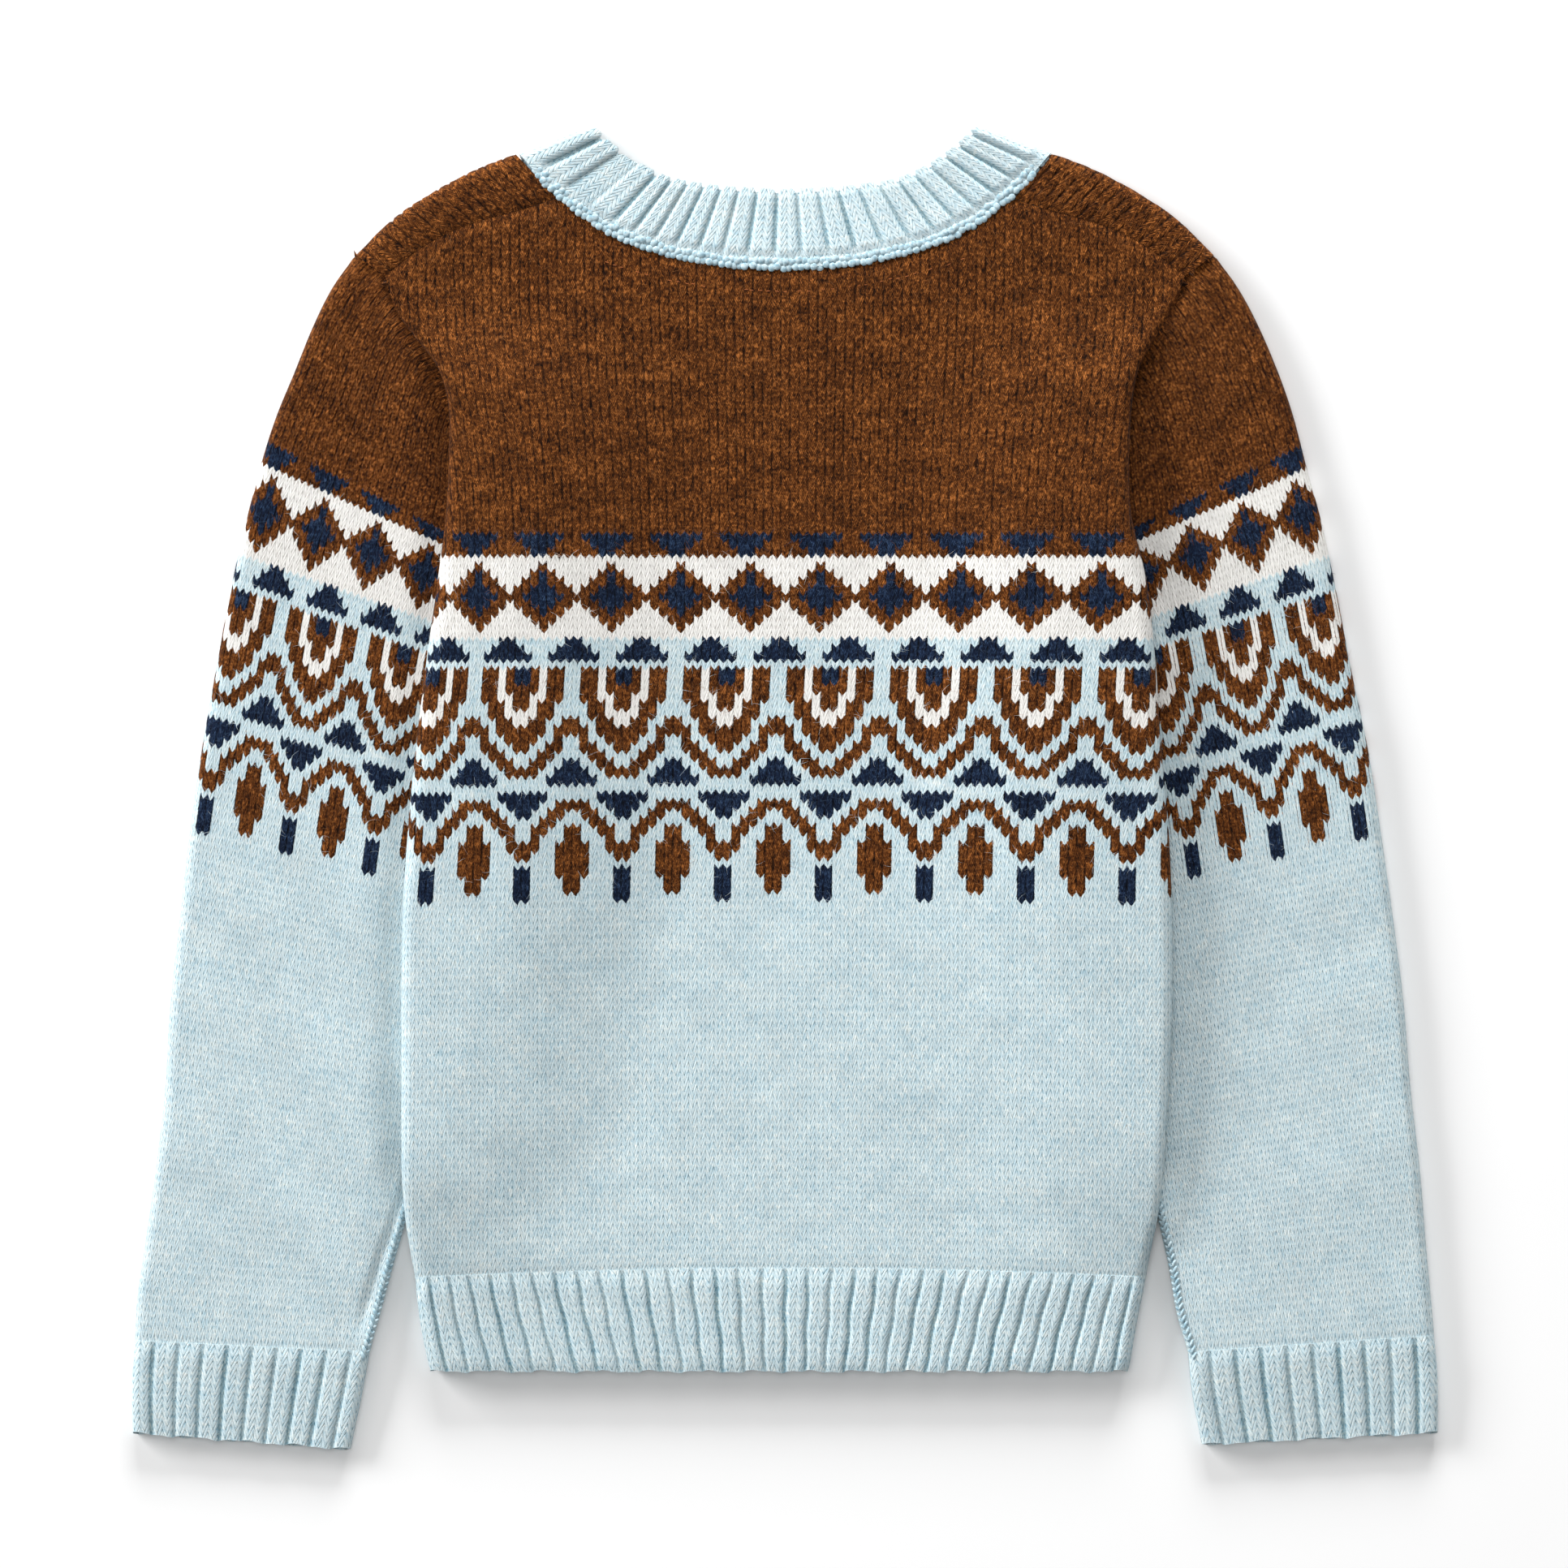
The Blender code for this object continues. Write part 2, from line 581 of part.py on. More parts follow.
def build():
    for item in list(bpy.data.objects):
        bpy.data.objects.remove(item)
    jumper = bpy.data.collections.new("fair_isle_jumper")
    bpy.context.scene.collection.children.link(jumper)
    pieces = (
        back_panel(),
        front_panel(),
        hem_rib_back(),
        hem_rib_front(),
        sleeve("sleeve_left", LEFT, SLEEVE_LEFT),
        sleeve("sleeve_right", RIGHT, SLEEVE_RIGHT),
        cuff("cuff_left", LEFT, CUFF_LEFT),
        cuff("cuff_right", RIGHT, CUFF_RIGHT),
        neckband(),
    )
    for piece in pieces:
        jumper.objects.link(piece)


build()
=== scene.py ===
import math
import bmesh
import bpy
import numpy as np
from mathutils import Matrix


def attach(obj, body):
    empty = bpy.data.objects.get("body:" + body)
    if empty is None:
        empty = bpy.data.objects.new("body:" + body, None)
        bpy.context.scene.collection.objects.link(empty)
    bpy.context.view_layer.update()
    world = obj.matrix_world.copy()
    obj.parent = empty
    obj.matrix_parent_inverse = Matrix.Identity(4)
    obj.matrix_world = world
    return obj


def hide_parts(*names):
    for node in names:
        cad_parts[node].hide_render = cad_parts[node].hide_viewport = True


# A child's fair isle jumper in wool, laid flat on its front, sleeves tucked along its sides.
# Lengths are millimetres until a mesh is made. A side is -1 on the left and 1 on the right.
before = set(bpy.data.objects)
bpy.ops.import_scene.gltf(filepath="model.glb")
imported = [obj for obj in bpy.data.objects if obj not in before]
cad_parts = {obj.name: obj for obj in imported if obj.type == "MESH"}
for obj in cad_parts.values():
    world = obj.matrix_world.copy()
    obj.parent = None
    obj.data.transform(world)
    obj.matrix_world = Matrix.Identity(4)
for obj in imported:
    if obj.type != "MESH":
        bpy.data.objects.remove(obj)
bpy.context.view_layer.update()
bpy.ops.object.select_all(action="DESELECT")
mm = 0.001

cloth = {
    "thickness": 2.4,
    "bodyHeight": 8.0,      # two layers of the body, with the air between them
    "sleeveHeight": 7.6,
    "tuckLift": 8.3,        # how high the sides of the body lie, over the sleeves
    "ramp": 30.0,           # breadth over which the front climbs to that height
    "drape": 82.0,          # breadth over which the back does
    "rampEnd": 2.0,         # the front is at that height this far inside the sleeve's edge
    "halfBreadth": 155.0,   # of the body
    "seam": 0.6,            # gap at the neck seam,
    "sideSeam": 1.0,        # and at the side seams
    "openFrom": 166.0,      # the armhole is open above this y
    "flatFrom": 160.0,      # and the front stays flat beside it
    "zigzag": 0.30,         # each stitch is a V: its arms rise and its middle falls by this, in courses
}


def smooth(share):
    share = np.clip(share, 0.0, 1.0)
    return share * share * (3 - 2 * share)


def sideOf(x):
    return np.where(x < 0, -1.0, 1.0)


def softLine(places, values):
    # a smooth line through the points, as a function of the place
    places, values = np.asarray(places, float), np.asarray(values, float)
    slopes = np.gradient(values, places)

    def at(place):
        place = np.clip(place, places[0], places[-1])
        k = np.clip(np.searchsorted(places, place, side="right") - 1, 0, len(places) - 2)
        span = places[k + 1] - places[k]
        f = (place - places[k]) / span
        return ((2 * f**3 - 3 * f**2 + 1) * values[k] + (f**3 - 2 * f**2 + f) * span * slopes[k]
                + (3 * f**2 - 2 * f**3) * values[k + 1] + (f**3 - f**2) * span * slopes[k + 1])
    return at


def along(points):
    # a smooth line through points of the plane, as a function of the share of its length
    points = np.asarray(points, float)
    lengths = np.linalg.norm(np.diff(points, axis=0), axis=1)
    knots = np.concatenate(([0.0], np.cumsum(lengths))) / lengths.sum()
    lineX, lineY = softLine(knots, points[:, 0]), softLine(knots, points[:, 1])
    return lambda share: (lineX(share), lineY(share))


# ---- how the jumper lies: y, left and right fold, cloth turned under, sleeve's hidden edge and
# share of the lift over the sleeve
bodyRows = (
    (-199.0, 150.5, 147.0, 2.2, 132.0, 0.00),
    (-187.0, 152.6, 149.2, 2.2, 139.0, 0.30),
    (-176.0, 154.2, 151.4, 2.2, 146.0, 0.80),
    (-163.0, 155.4, 153.2, 2.4, 147.0, 1.00),
    (-139.0, 155.8, 154.8, 2.6, 142.0, 1.00),
    (-110.0, 155.8, 156.6, 3.0, 135.0, 1.00),
    (-80.0, 155.8, 157.4, 3.2, 129.0, 1.00),
    (-50.0, 155.2, 157.2, 3.8, 123.0, 1.00),
    (-16.0, 153.0, 155.8, 6.0, 118.5, 1.00),
    (20.0, 149.4, 152.6, 9.0, 117.0, 1.00),
    (55.0, 145.0, 150.2, 12.0, 116.5, 1.00),
    (85.0, 140.8, 146.6, 15.0, 116.5, 1.00),
    (112.0, 137.6, 140.6, 16.5, 117.0, 1.00),
    (138.0, 136.4, 140.0, 13.0, 119.0, 1.00),
    (156.0, 136.8, 141.2, 9.0, 125.0, 1.00),
    (170.3, 140.9, 144.0, 8.4, 130.0, 0.92),
    (188.0, 154.6, 154.6, 2.2, 132.0, 0.30),
    (207.9, 166.9, 166.9, -4.3, 130.0, 0.00),
)
weltRows = (
    (-237.6, 144.2, 139.6, 2.2, 128.0, 0.00),
    (-219.0, 147.9, 142.8, 2.2, 130.0, 0.00),
    (-199.5, 150.4, 146.9, 2.2, 132.0, 0.00),
)
weltArch = 4.0              # the welt is this much higher in the middle
neckBackSeam = ((0, 211.0), (30, 213.3), (57, 219.4), (80, 230.6), (91.4, 239.9), (101, 249.4), (108.5, 258.2))
neckBackEdge = ((0, 242.6), (30, 244.6), (50, 248.6), (62, 255.0), (71, 261.6), (79, 269.4))
neckFrontSeam = ((0, 186.5), (32, 188.2), (62, 195.0), (88, 211.0), (103, 233.0), (108.5, 258.2))
neckFrontEdge = ((0, 217.8), (28, 219.4), (50, 225.0), (66, 237.0), (75, 251.0), (79, 269.4))
shoulderSeam = ((91.4, 239.9), (104, 235.6), (121, 231.0), (134, 226.6), (149, 218.4), (162.6, 207.9))
shoulderFold = ((108.5, 258.2), (126, 251.4), (142, 243.0), (156, 234.0), (166, 225.4), (174.6, 216.5))
armhole = ((174.6, 216.5), (162.6, 207.9), (154.6, 188.0), (140.9, 170.3), (121.8, 118.8))
# y and x of the front's edge at the armhole
frontArmhole = ((156.0, 170.3, 188.0, 207.9, 216.5), (120.0, 133.4, 149.6, 162.6, 174.6))
(neckX, neckY), (tipX, tipY) = shoulderFold[0], shoulderFold[-1]
hemLevel, weltTop, bodyStart, bodyEnd = weltRows[0][0], weltRows[-1][0], bodyRows[0][0], bodyRows[-1][0]


def lieOf(rows):
    # the columns of a table of rows, as lines over y
    y, left, right, turned, tuck, lift = [np.array(column, float) for column in zip(*rows)]
    lie = {"left": softLine(y, left), "right": softLine(y, right), "tuck": softLine(y, tuck)}
    lie["turned"] = lambda at: np.interp(at, y, turned)
    lie["lift"] = lambda at: cloth["tuckLift"] * np.interp(at, y, lift)
    return lie


bodyLie, weltLie = lieOf(bodyRows), lieOf(weltRows)
softLifts = softLine((-237.6, -219, -199, -187, -176, -163, -150, -139, -120, 150, 165, 178, 192, 207.9),
                     (0.0, 0.08, 0.24, 0.40, 0.58, 0.78, 0.90, 0.96, 1.0, 1.0, 0.88, 0.52, 0.15, 0.0))


def softLift(y):
    # the back's lift starts and ends more softly than the front's
    return cloth["tuckLift"] * softLifts(y)


def sectionAt(lie, side, y):
    # the cloth's limit, its lift and the sleeve's edge, and the radius and start of the round side
    edge = np.where(side < 0, lie["left"](y), lie["right"](y))
    lift = lie["lift"](y)
    radius = (cloth["bodyHeight"] + softLift(y) - lift) / 2
    return edge + lie["turned"](y), lift, lie["tuck"](y), radius, edge - radius


def backSkin(lie, breadth, y):
    # x and z of the back's outer skin, at a breadth of cloth from the middle
    side = sideOf(breadth)
    limit, lift, tuck, radius, flat = sectionAt(lie, side, y)
    a = np.minimum(np.abs(breadth), limit)
    angle = np.clip((a - flat) / radius, 0, math.pi)
    over = np.maximum(0, a - flat - math.pi * radius)
    x = np.where(a <= flat, a, flat + radius * np.sin(angle) - over)
    top = cloth["bodyHeight"] + softLift(y) * smooth((a - tuck + cloth["drape"]) / cloth["drape"])
    z = np.where(a <= flat, top, lift + radius * (1 + np.cos(angle)))
    return side * x, z, side * a


def frontSkin(lie, breadth, y):
    # the same for the front, from the middle of the underside outward and up to its seam
    side = sideOf(breadth)
    limit, lift, tuck, radius, flat = sectionAt(lie, side, y)
    last = 2 * flat + math.pi * radius - limit - cloth["sideSeam"]
    if lie is bodyLie:
        last = np.where(y > cloth["openFrom"], np.interp(y, *frontArmhole), last)
    a = np.minimum(np.abs(breadth), last)
    flat = np.where(y > cloth["flatFrom"], 999.0, flat)
    angle = np.clip((a - flat) / radius, 0, math.pi)
    x = np.where(a <= flat, a, flat + radius * np.sin(angle))
    ramp = lift * smooth((a - tuck + cloth["ramp"]) / (cloth["ramp"] - cloth["rampEnd"]))
    z = np.where(a <= flat, ramp, lift + radius * (1 - np.cos(angle)))
    return side * x, z, side * a


# ---- the charts: B brown, N navy, W cream, . light blue; one sign is one stitch
charts = {
    "upperFrom": -3,
    "upper": (
        "BNNNNNNB", "BBNNNNBB", "BBBNNBBB", "WWWWWWWW",
        "WWWWBWWW", "WWWBNBWW", "WWBBNBBW", "WBBNNNBB", "BBNNNNNB", "WBBNNNBB",
        "WWBBNBBW", "WWWBBBWW", "WWWWBWWW", "WWWWWWWW",
        "N......N", "NN....NN", "NNN..NNN", "........",
    ),
    "lowerFrom": 15,        # each row from the middle of an arch to half way to the next one
    "lower": (
        "NBWBB.", "NBWBB.", "BBWBB.", "BWWBB.", "BWBB..", "WWBB..", "WBB..B",
        "BBB.BB", "BB..B.", "B..BB.", "..BB..", ".BB..N", "BB..NN", "...NNN",
        "......", "NNN...", "NN..BB", "N..BB.", "..BB..", ".BB..B", ".B...B",
        "BB..BB", "B...BB", "....BB", "N...BB", "N....B", "N....B", "N.....",
    ),
    "yarns": {"B": 0, "N": 1, "W": 2, ".": 3},
}
brown, lightBlue = charts["yarns"]["B"], charts["yarns"]["."]


def yarnOf(stitch, course, arch=0):
    # which yarn each stitch has, counted from the middle wale and the first cream course; arch is
    # the wale in the middle of an arch
    names = charts["yarns"]
    yarn = np.where(course < charts["upperFrom"], brown, lightBlue)
    lower = [row[::-1] + row for row in charts["lower"]]
    for rows, start, shift in ((charts["upper"], charts["upperFrom"], 2),
                               (lower, charts["lowerFrom"], 6 - arch)):
        chart = np.array([[names[sign] for sign in row] for row in rows])
        found = chart[np.clip(course - start, 0, len(chart) - 1), (stitch + shift) % chart.shape[1]]
        yarn = np.where((course >= start) & (course < start + len(chart)), found, yarn)
    return yarn


# ---- wool
def linear(code):
    # an sRGB hex value as linear red, green, blue and alpha
    parts = [int(code[k:k + 2], 16) / 255 for k in (1, 3, 5)]
    return [p / 12.92 if p <= 0.04045 else ((p + 0.055) / 1.055) ** 2.4 for p in parts] + [1.0]


def addNode(tree, kind, inputs=(), steps=(), **settings):
    # kind: a shader node's, or in capitals an operation of the Math node
    # inputs: a dictionary of names, or values in the order of the node's sockets
    # steps: the colours of a ramp, in even, hard steps
    node = tree.nodes.new("ShaderNode" + ("Math" if kind.isupper() else kind))
    if kind.isupper():
        node.operation = kind
    for name, value in settings.items():
        setattr(node, name, value)
    for name, value in inputs.items() if isinstance(inputs, dict) else enumerate(inputs):
        if isinstance(value, bpy.types.Node):
            value = value.outputs[0]
        if isinstance(value, bpy.types.NodeSocket):
            tree.links.new(value, node.inputs[name])
        else:
            node.inputs[name].default_value = value
    for k, code in enumerate(steps):
        ramp = node.color_ramp
        ramp.interpolation = "CONSTANT"
        step = ramp.elements[k] if k < 2 else ramp.elements.new(k / len(steps))
        step.position, step.color = k / len(steps), linear(code)
    return node


wool = {
    # brown, navy, cream, light blue: the dark, the middle and the light fibres of each
    "dark": ("#100703", "#070d1a", "#e2dfda", "#afccd8"),
    "middle": ("#593010", "#121f36", "#f1efeb", "#d0e1e6"),
    "light": ("#bd7438", "#3d5475", "#f9f7f3", "#eef3ef"),
    "relief": 0.0004,       # height of a leg of a stitch, in metres
    "stray": 0.30,          # how far stray fibres reach over the next yarn, in half stitches
}


def plainMaterial(name, codes, roughness, gloss):
    # codes: one, two for hairs of two shades, or one for each yarn
    material = bpy.data.materials.new(name)
    material.use_nodes = True
    tree = material.node_tree
    shader = tree.nodes["Principled BSDF"]
    if len(codes) == 2:
        at = addNode(tree, "TexCoord").outputs["Object"]
        hairs = addNode(tree, "TexNoise", {"Vector": at, "Scale": 700.0, "Detail": 2.0})
        hairs = addNode(tree, "MapRange", (hairs, 0.35, 0.65))
        both = {0: hairs, 6: linear(codes[0]), 7: linear(codes[1])}
        shade = addNode(tree, "Mix", both, data_type="RGBA")
        tree.links.new(shade.outputs[2], shader.inputs["Base Color"])
    elif len(codes) == 4:
        yarn = addNode(tree, "Attribute", attribute_name="yarn").outputs["Fac"]
        ramp = addNode(tree, "ValToRGB", (yarn,), steps=codes)
        tree.links.new(ramp.outputs[0], shader.inputs["Base Color"])
    else:
        shader.inputs["Base Color"].default_value = linear(codes[0])
    shader.inputs["Roughness"].default_value = roughness
    shader.inputs["Specular IOR Level"].default_value = gloss
    return material


def makeWool(name, depth=1.0):
    # Carded Shetland wool, knitted plain: each V has two plump, hairy legs that shade each other, with the
    # shade painted into the colour, and fibres of several shades in one yarn give the flecked, cloudy look.
    # Depth is how dark the painted shade in the hollows between the legs is, and how high the legs stand.
    material = bpy.data.materials.new(name)
    material.use_nodes = True
    tree = material.node_tree
    tree.nodes.clear()
    place = addNode(tree, "UVMap", uv_map="stitches")
    u, v = addNode(tree, "SeparateXYZ", (place,)).outputs[:2]
    # across: 0 in the middle of the V, 1 where it meets the next one; up: along the wale
    across = addNode(tree, "FRACT", (u,))
    across = addNode(tree, "SUBTRACT", (across, 0.5))
    across = addNode(tree, "ABSOLUTE", (across,))
    across = addNode(tree, "MULTIPLY", (across, 2.0))
    up = addNode(tree, "FRACT", (v,))
    twice = addNode(tree, "MULTIPLY", (u, 2.0))
    legNumber = addNode(tree, "FLOOR", (twice,))
    # the legs rise outward, one above the other: offLeg is 0 along the middle of each
    shifted = addNode(tree, "SUBTRACT", (v, across))
    shifted = addNode(tree, "ADD", (shifted, 0.5))
    legCourse = addNode(tree, "FLOOR", (shifted,))
    offLeg = addNode(tree, "FRACT", (shifted,))
    offLeg = addNode(tree, "SUBTRACT", (offLeg, 0.5))
    alongLeg = addNode(tree, "ADD", (across, v))

    # fibres run along each leg
    streakX = addNode(tree, "MULTIPLY_ADD", (legNumber, 7.0, legCourse))
    streakX = addNode(tree, "MULTIPLY_ADD", (offLeg, 2.4, streakX))
    streakY = addNode(tree, "MULTIPLY", (alongLeg, 0.42))
    streakAt = addNode(tree, "CombineXYZ", (streakX, streakY, 0.0))
    streak = addNode(tree, "TexNoise", {"Vector": streakAt, "Scale": 1.9, "Detail": 2.0, "Roughness": 0.65})
    # heather: soft patches a few stitches wide; cloud: larger ones, about 18 mm; fine: single hairs,
    # 1.1 mm, which is coarser than real ones, so that they show
    heatherX = addNode(tree, "MULTIPLY", (u, 0.22))
    heatherY = addNode(tree, "MULTIPLY", (v, 0.30))
    heatherAt = addNode(tree, "CombineXYZ", (heatherX, heatherY, 3.0))
    heather = addNode(tree, "TexNoise", {"Vector": heatherAt, "Scale": 1.0, "Detail": 3.0, "Roughness": 0.65})
    place = addNode(tree, "TexCoord").outputs["Object"]
    fine = addNode(tree, "TexNoise", {"Vector": place, "Scale": 900.0, "Detail": 2.0, "Roughness": 0.6})
    cloud = addNode(tree, "TexNoise", {"Vector": place, "Scale": 55.0, "Detail": 3.0, "Roughness": 0.6})
    fibre = addNode(tree, "Mix", {0: 0.35, 2: streak, 3: fine}, data_type="FLOAT")
    fibre = addNode(tree, "Mix", {0: 0.14, 2: fibre, 3: heather}, data_type="FLOAT")

    # yarn: 0 to 1 picks its colours; near the edge of a stitch some fibres are the next stitch's
    own = addNode(tree, "Attribute", attribute_name="yarn").outputs["Fac"]
    yarn = own
    hair = addNode(tree, "MapRange", (fibre, 0.52, 0.66, 0.0, wool["stray"]))
    hairBack = addNode(tree, "MapRange", (fibre, 0.48, 0.34, 0.0, wool["stray"]))
    toLeft = addNode(tree, "FRACT", (twice,))
    toRight = addNode(tree, "SUBTRACT", (1.0, toLeft))
    toTop = addNode(tree, "SUBTRACT", (1.0, up))
    for distance, reach, other in ((toLeft, hair, "yarnLeft"), (toRight, hairBack, "yarnRight"),
                                   (up, hair, "yarnBelow"), (toTop, hairBack, "yarnAbove")):
        beside = addNode(tree, "Attribute", attribute_name=other).outputs["Fac"]
        # and a dark yarn spreads over a light one
        spread = addNode(tree, "SUBTRACT", (own, beside))
        spread = addNode(tree, "MULTIPLY_ADD", (spread, 0.13, reach))
        near = addNode(tree, "LESS_THAN", (distance, spread))
        yarn = addNode(tree, "Mix", {0: near, 2: yarn, 3: beside}, data_type="FLOAT").outputs[0]
    shades = [addNode(tree, "ValToRGB", (yarn,), steps=wool[shade]) for shade in ("dark", "middle", "light")]
    toMiddle = addNode(tree, "MapRange", (fibre, 0.40, 0.50), interpolation_type="SMOOTHSTEP")
    toLight = addNode(tree, "MapRange", (fibre, 0.51, 0.63), interpolation_type="SMOOTHSTEP")
    colour = addNode(tree, "Mix", {0: toMiddle, 6: shades[0], 7: shades[1]}, data_type="RGBA")
    colour = addNode(tree, "Mix", {0: toLight, 6: colour.outputs[2], 7: shades[2]}, data_type="RGBA")

    # clouds of lighter and darker yarn and legs of their own tone; painted shade in the hollows where the
    # legs part, at the middle of each V and between the Vs, and in a line between the wales, darkest in the dark
    # yarns
    clouds = addNode(tree, "MapRange", (cloud, 0.3, 0.7, 0.95, 1.05))
    legAt = addNode(tree, "CombineXYZ", (legNumber, legCourse, 0.0))
    chance = addNode(tree, "TexWhiteNoise", {"Vector": legAt})
    legTone = addNode(tree, "MapRange", (chance, 0.0, 1.0, 0.95, 1.05))
    # seam: 1 between two legs; sides: 1 in the middle of the V and between two Vs
    seam = addNode(tree, "MULTIPLY", (offLeg, offLeg))
    seam = addNode(tree, "MULTIPLY", (seam, seam))
    seam = addNode(tree, "MULTIPLY", (seam, 16.0))
    sides = addNode(tree, "MULTIPLY_ADD", (across, 2.0, -1.0))
    sides = addNode(tree, "MULTIPLY", (sides, sides))
    # painted shade in the hollows where the legs part; some hollows are darker than others
    hollowShade = addNode(tree, "MULTIPLY_ADD", (sides, 1.35 * depth, 0.15 * depth))
    hollowShade = addNode(tree, "MULTIPLY", (hollowShade, seam))
    openness = addNode(tree, "MapRange", (chance, 0.0, 1.0, 0.5, 1.5))
    hollowShade = addNode(tree, "MULTIPLY", (hollowShade, openness))
    # painted shade in a line between the wales, darker in the dark yarns; the same line also lowers the legs
    # there
    valley = addNode(tree, "MapRange", (across, 0.5, 1.0), interpolation_type="SMOOTHSTEP")
    uneven = addNode(tree, "MapRange", (chance, 0.12, 1.0, 0.0, 1.6))
    valley = addNode(tree, "MULTIPLY", (valley, uneven))
    darkYarn = addNode(tree, "MapRange", (yarn, 0.4, 0.6, -0.58, -0.06))
    valley = addNode(tree, "MULTIPLY_ADD", (valley, darkYarn, 1.0))
    # painted shade at the middle of each V and between the Vs
    strand = addNode(tree, "MULTIPLY", (sides, sides))
    strand = addNode(tree, "MULTIPLY_ADD", (strand, -0.13, 1.0))
    # painted shade in the rib furrows, as the mesh gives it
    furrow = addNode(tree, "Attribute", attribute_name="furrow")
    value = clouds
    for factor in (legTone, valley, strand):
        value = addNode(tree, "MULTIPLY", (value, factor))
    colour = addNode(tree, "VectorMath", {0: colour.outputs[2], "Scale": value}, operation="SCALE")
    # painted shade: the colour is deeper in the hollows and in the rib furrows, most of all in the pale yarns
    shallow = addNode(tree, "MULTIPLY", (hollowShade, 0.8))
    shadeGamma = addNode(tree, "MULTIPLY_ADD", (furrow.outputs["Fac"], 1.25, shallow))
    paleYarn = addNode(tree, "MapRange", (yarn, 0.4, 0.6, 0.2, 1.0))
    shadeGamma = addNode(tree, "MULTIPLY_ADD", (shadeGamma, paleYarn, 1.0))
    colour = addNode(tree, "Gamma", {"Color": colour, "Gamma": shadeGamma})

    # height of the legs: round, deepest where four of them part, and lower between the wales
    height = addNode(tree, "MULTIPLY_ADD", (sides, -0.35, -0.35))
    height = addNode(tree, "MULTIPLY_ADD", (height, seam, 1.0))
    height = addNode(tree, "MULTIPLY_ADD", (fibre, 0.7, height))
    height = addNode(tree, "MULTIPLY", (height, valley))
    relief = wool["relief"] * depth
    bump = addNode(tree, "Bump", {"Strength": 1.0, "Distance": relief, "Height": height})
    shader = addNode(tree, "BsdfPrincipled", {
        "Base Color": colour, "Roughness": 0.95, "Specular IOR Level": 0.1, "Normal": bump,
        "Sheen Weight": 0.02, "Sheen Roughness": 0.5})
    addNode(tree, "OutputMaterial", {"Surface": shader})
    return material


plainKnit = makeWool("shetlandWoolPlainKnit")
ribKnit = makeWool("shetlandWoolRibbed", depth=1.1)


# ---- from a grid of points to a piece of cloth
skins = []


def meshOf(name, points, quads):
    mesh = bpy.data.meshes.new(name)
    mesh.vertices.add(points.size // 3)
    mesh.vertices.foreach_set("co", (points.ravel() * mm).astype(np.float32))
    mesh.loops.add(quads.size)
    mesh.loops.foreach_set("vertex_index", quads.ravel().astype(np.int32))
    mesh.polygons.add(len(quads))
    mesh.polygons.foreach_set("loop_start", np.arange(0, quads.size, 4, dtype=np.int32))
    mesh.update(calc_edges=True)
    return mesh


def addValues(mesh, name, domain, values):
    mesh.attributes.new(name, "FLOAT", domain).data.foreach_set("value", values.ravel().astype(np.float32))


def makeCloth(name, node, points, stitches, yarn=None, furrow=None):
    # points by row and column, seen from outside: columns to the right, rows upward
    rows, columns = points.shape[0] - 1, points.shape[1] - 1
    if yarn is None:
        yarn = np.full((rows, columns), lightBlue)
    skins.append((points, yarn))
    numbers = np.arange((rows + 1) * (columns + 1)).reshape(rows + 1, columns + 1)
    lower, upper = numbers[:-1], numbers[1:]
    quads = np.stack([lower[:, :-1], lower[:, 1:], upper[:, 1:], upper[:, :-1]], axis=-1).reshape(-1, 4)
    mesh = meshOf(name, points, quads)
    uvs = mesh.uv_layers.new(name="stitches")
    uvs.data.foreach_set("uv", stitches.reshape(-1, 2)[quads.ravel()].astype(np.float32).ravel())
    # each face knows its yarn and those beside it
    around = np.pad(yarn, 1, mode="edge")
    beside = [around[1:-1, :-2], around[1:-1, 2:]]
    if stitches[0, 1, 0] < stitches[0, 0, 0]:
        beside.reverse()
    for key, value in (("yarn", yarn), ("yarnLeft", beside[0]), ("yarnRight", beside[1]),
                       ("yarnBelow", around[:-2, 1:-1]), ("yarnAbove", around[2:, 1:-1])):
        addValues(mesh, key, "FACE", (value + 0.5) / 4)
    # furrow: painted shade in the rib furrows, for each corner; it also picks the ribbed wool
    if furrow is not None:
        addValues(mesh, "furrow", "CORNER", furrow.ravel()[quads])
    bm = bmesh.new()
    bm.from_mesh(mesh)
    bmesh.ops.remove_doubles(bm, verts=bm.verts, dist=0.12 * mm)
    bmesh.ops.dissolve_degenerate(bm, edges=bm.edges, dist=0.1 * mm)
    slivers = [face for face in bm.faces if face.calc_area() < 0.04 * mm**2]
    bmesh.ops.delete(bm, geom=slivers, context="FACES")
    bm.to_mesh(mesh)
    bm.free()
    piece = bpy.data.objects.new(name, mesh)
    bpy.context.scene.collection.objects.link(piece)
    mesh.materials.append(plainKnit if furrow is None else ribKnit)
    bpy.ops.object.select_all(action="DESELECT")
    piece.select_set(True)
    bpy.context.view_layer.objects.active = piece
    wall = piece.modifiers.new("cloth", "SOLIDIFY")
    wall.thickness = cloth["thickness"] * mm
    wall.offset = -1.0
    bpy.ops.object.modifier_apply(modifier=wall.name)
    for vertex in piece.data.vertices:
        vertex.co.z = max(vertex.co.z, 0.0)
    bpy.ops.object.shade_smooth_by_angle(angle=math.radians(50))
    piece.select_set(False)
    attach(piece, "root")
    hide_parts(node)
    print("made", name, len(piece.data.polygons), "faces")
    return piece


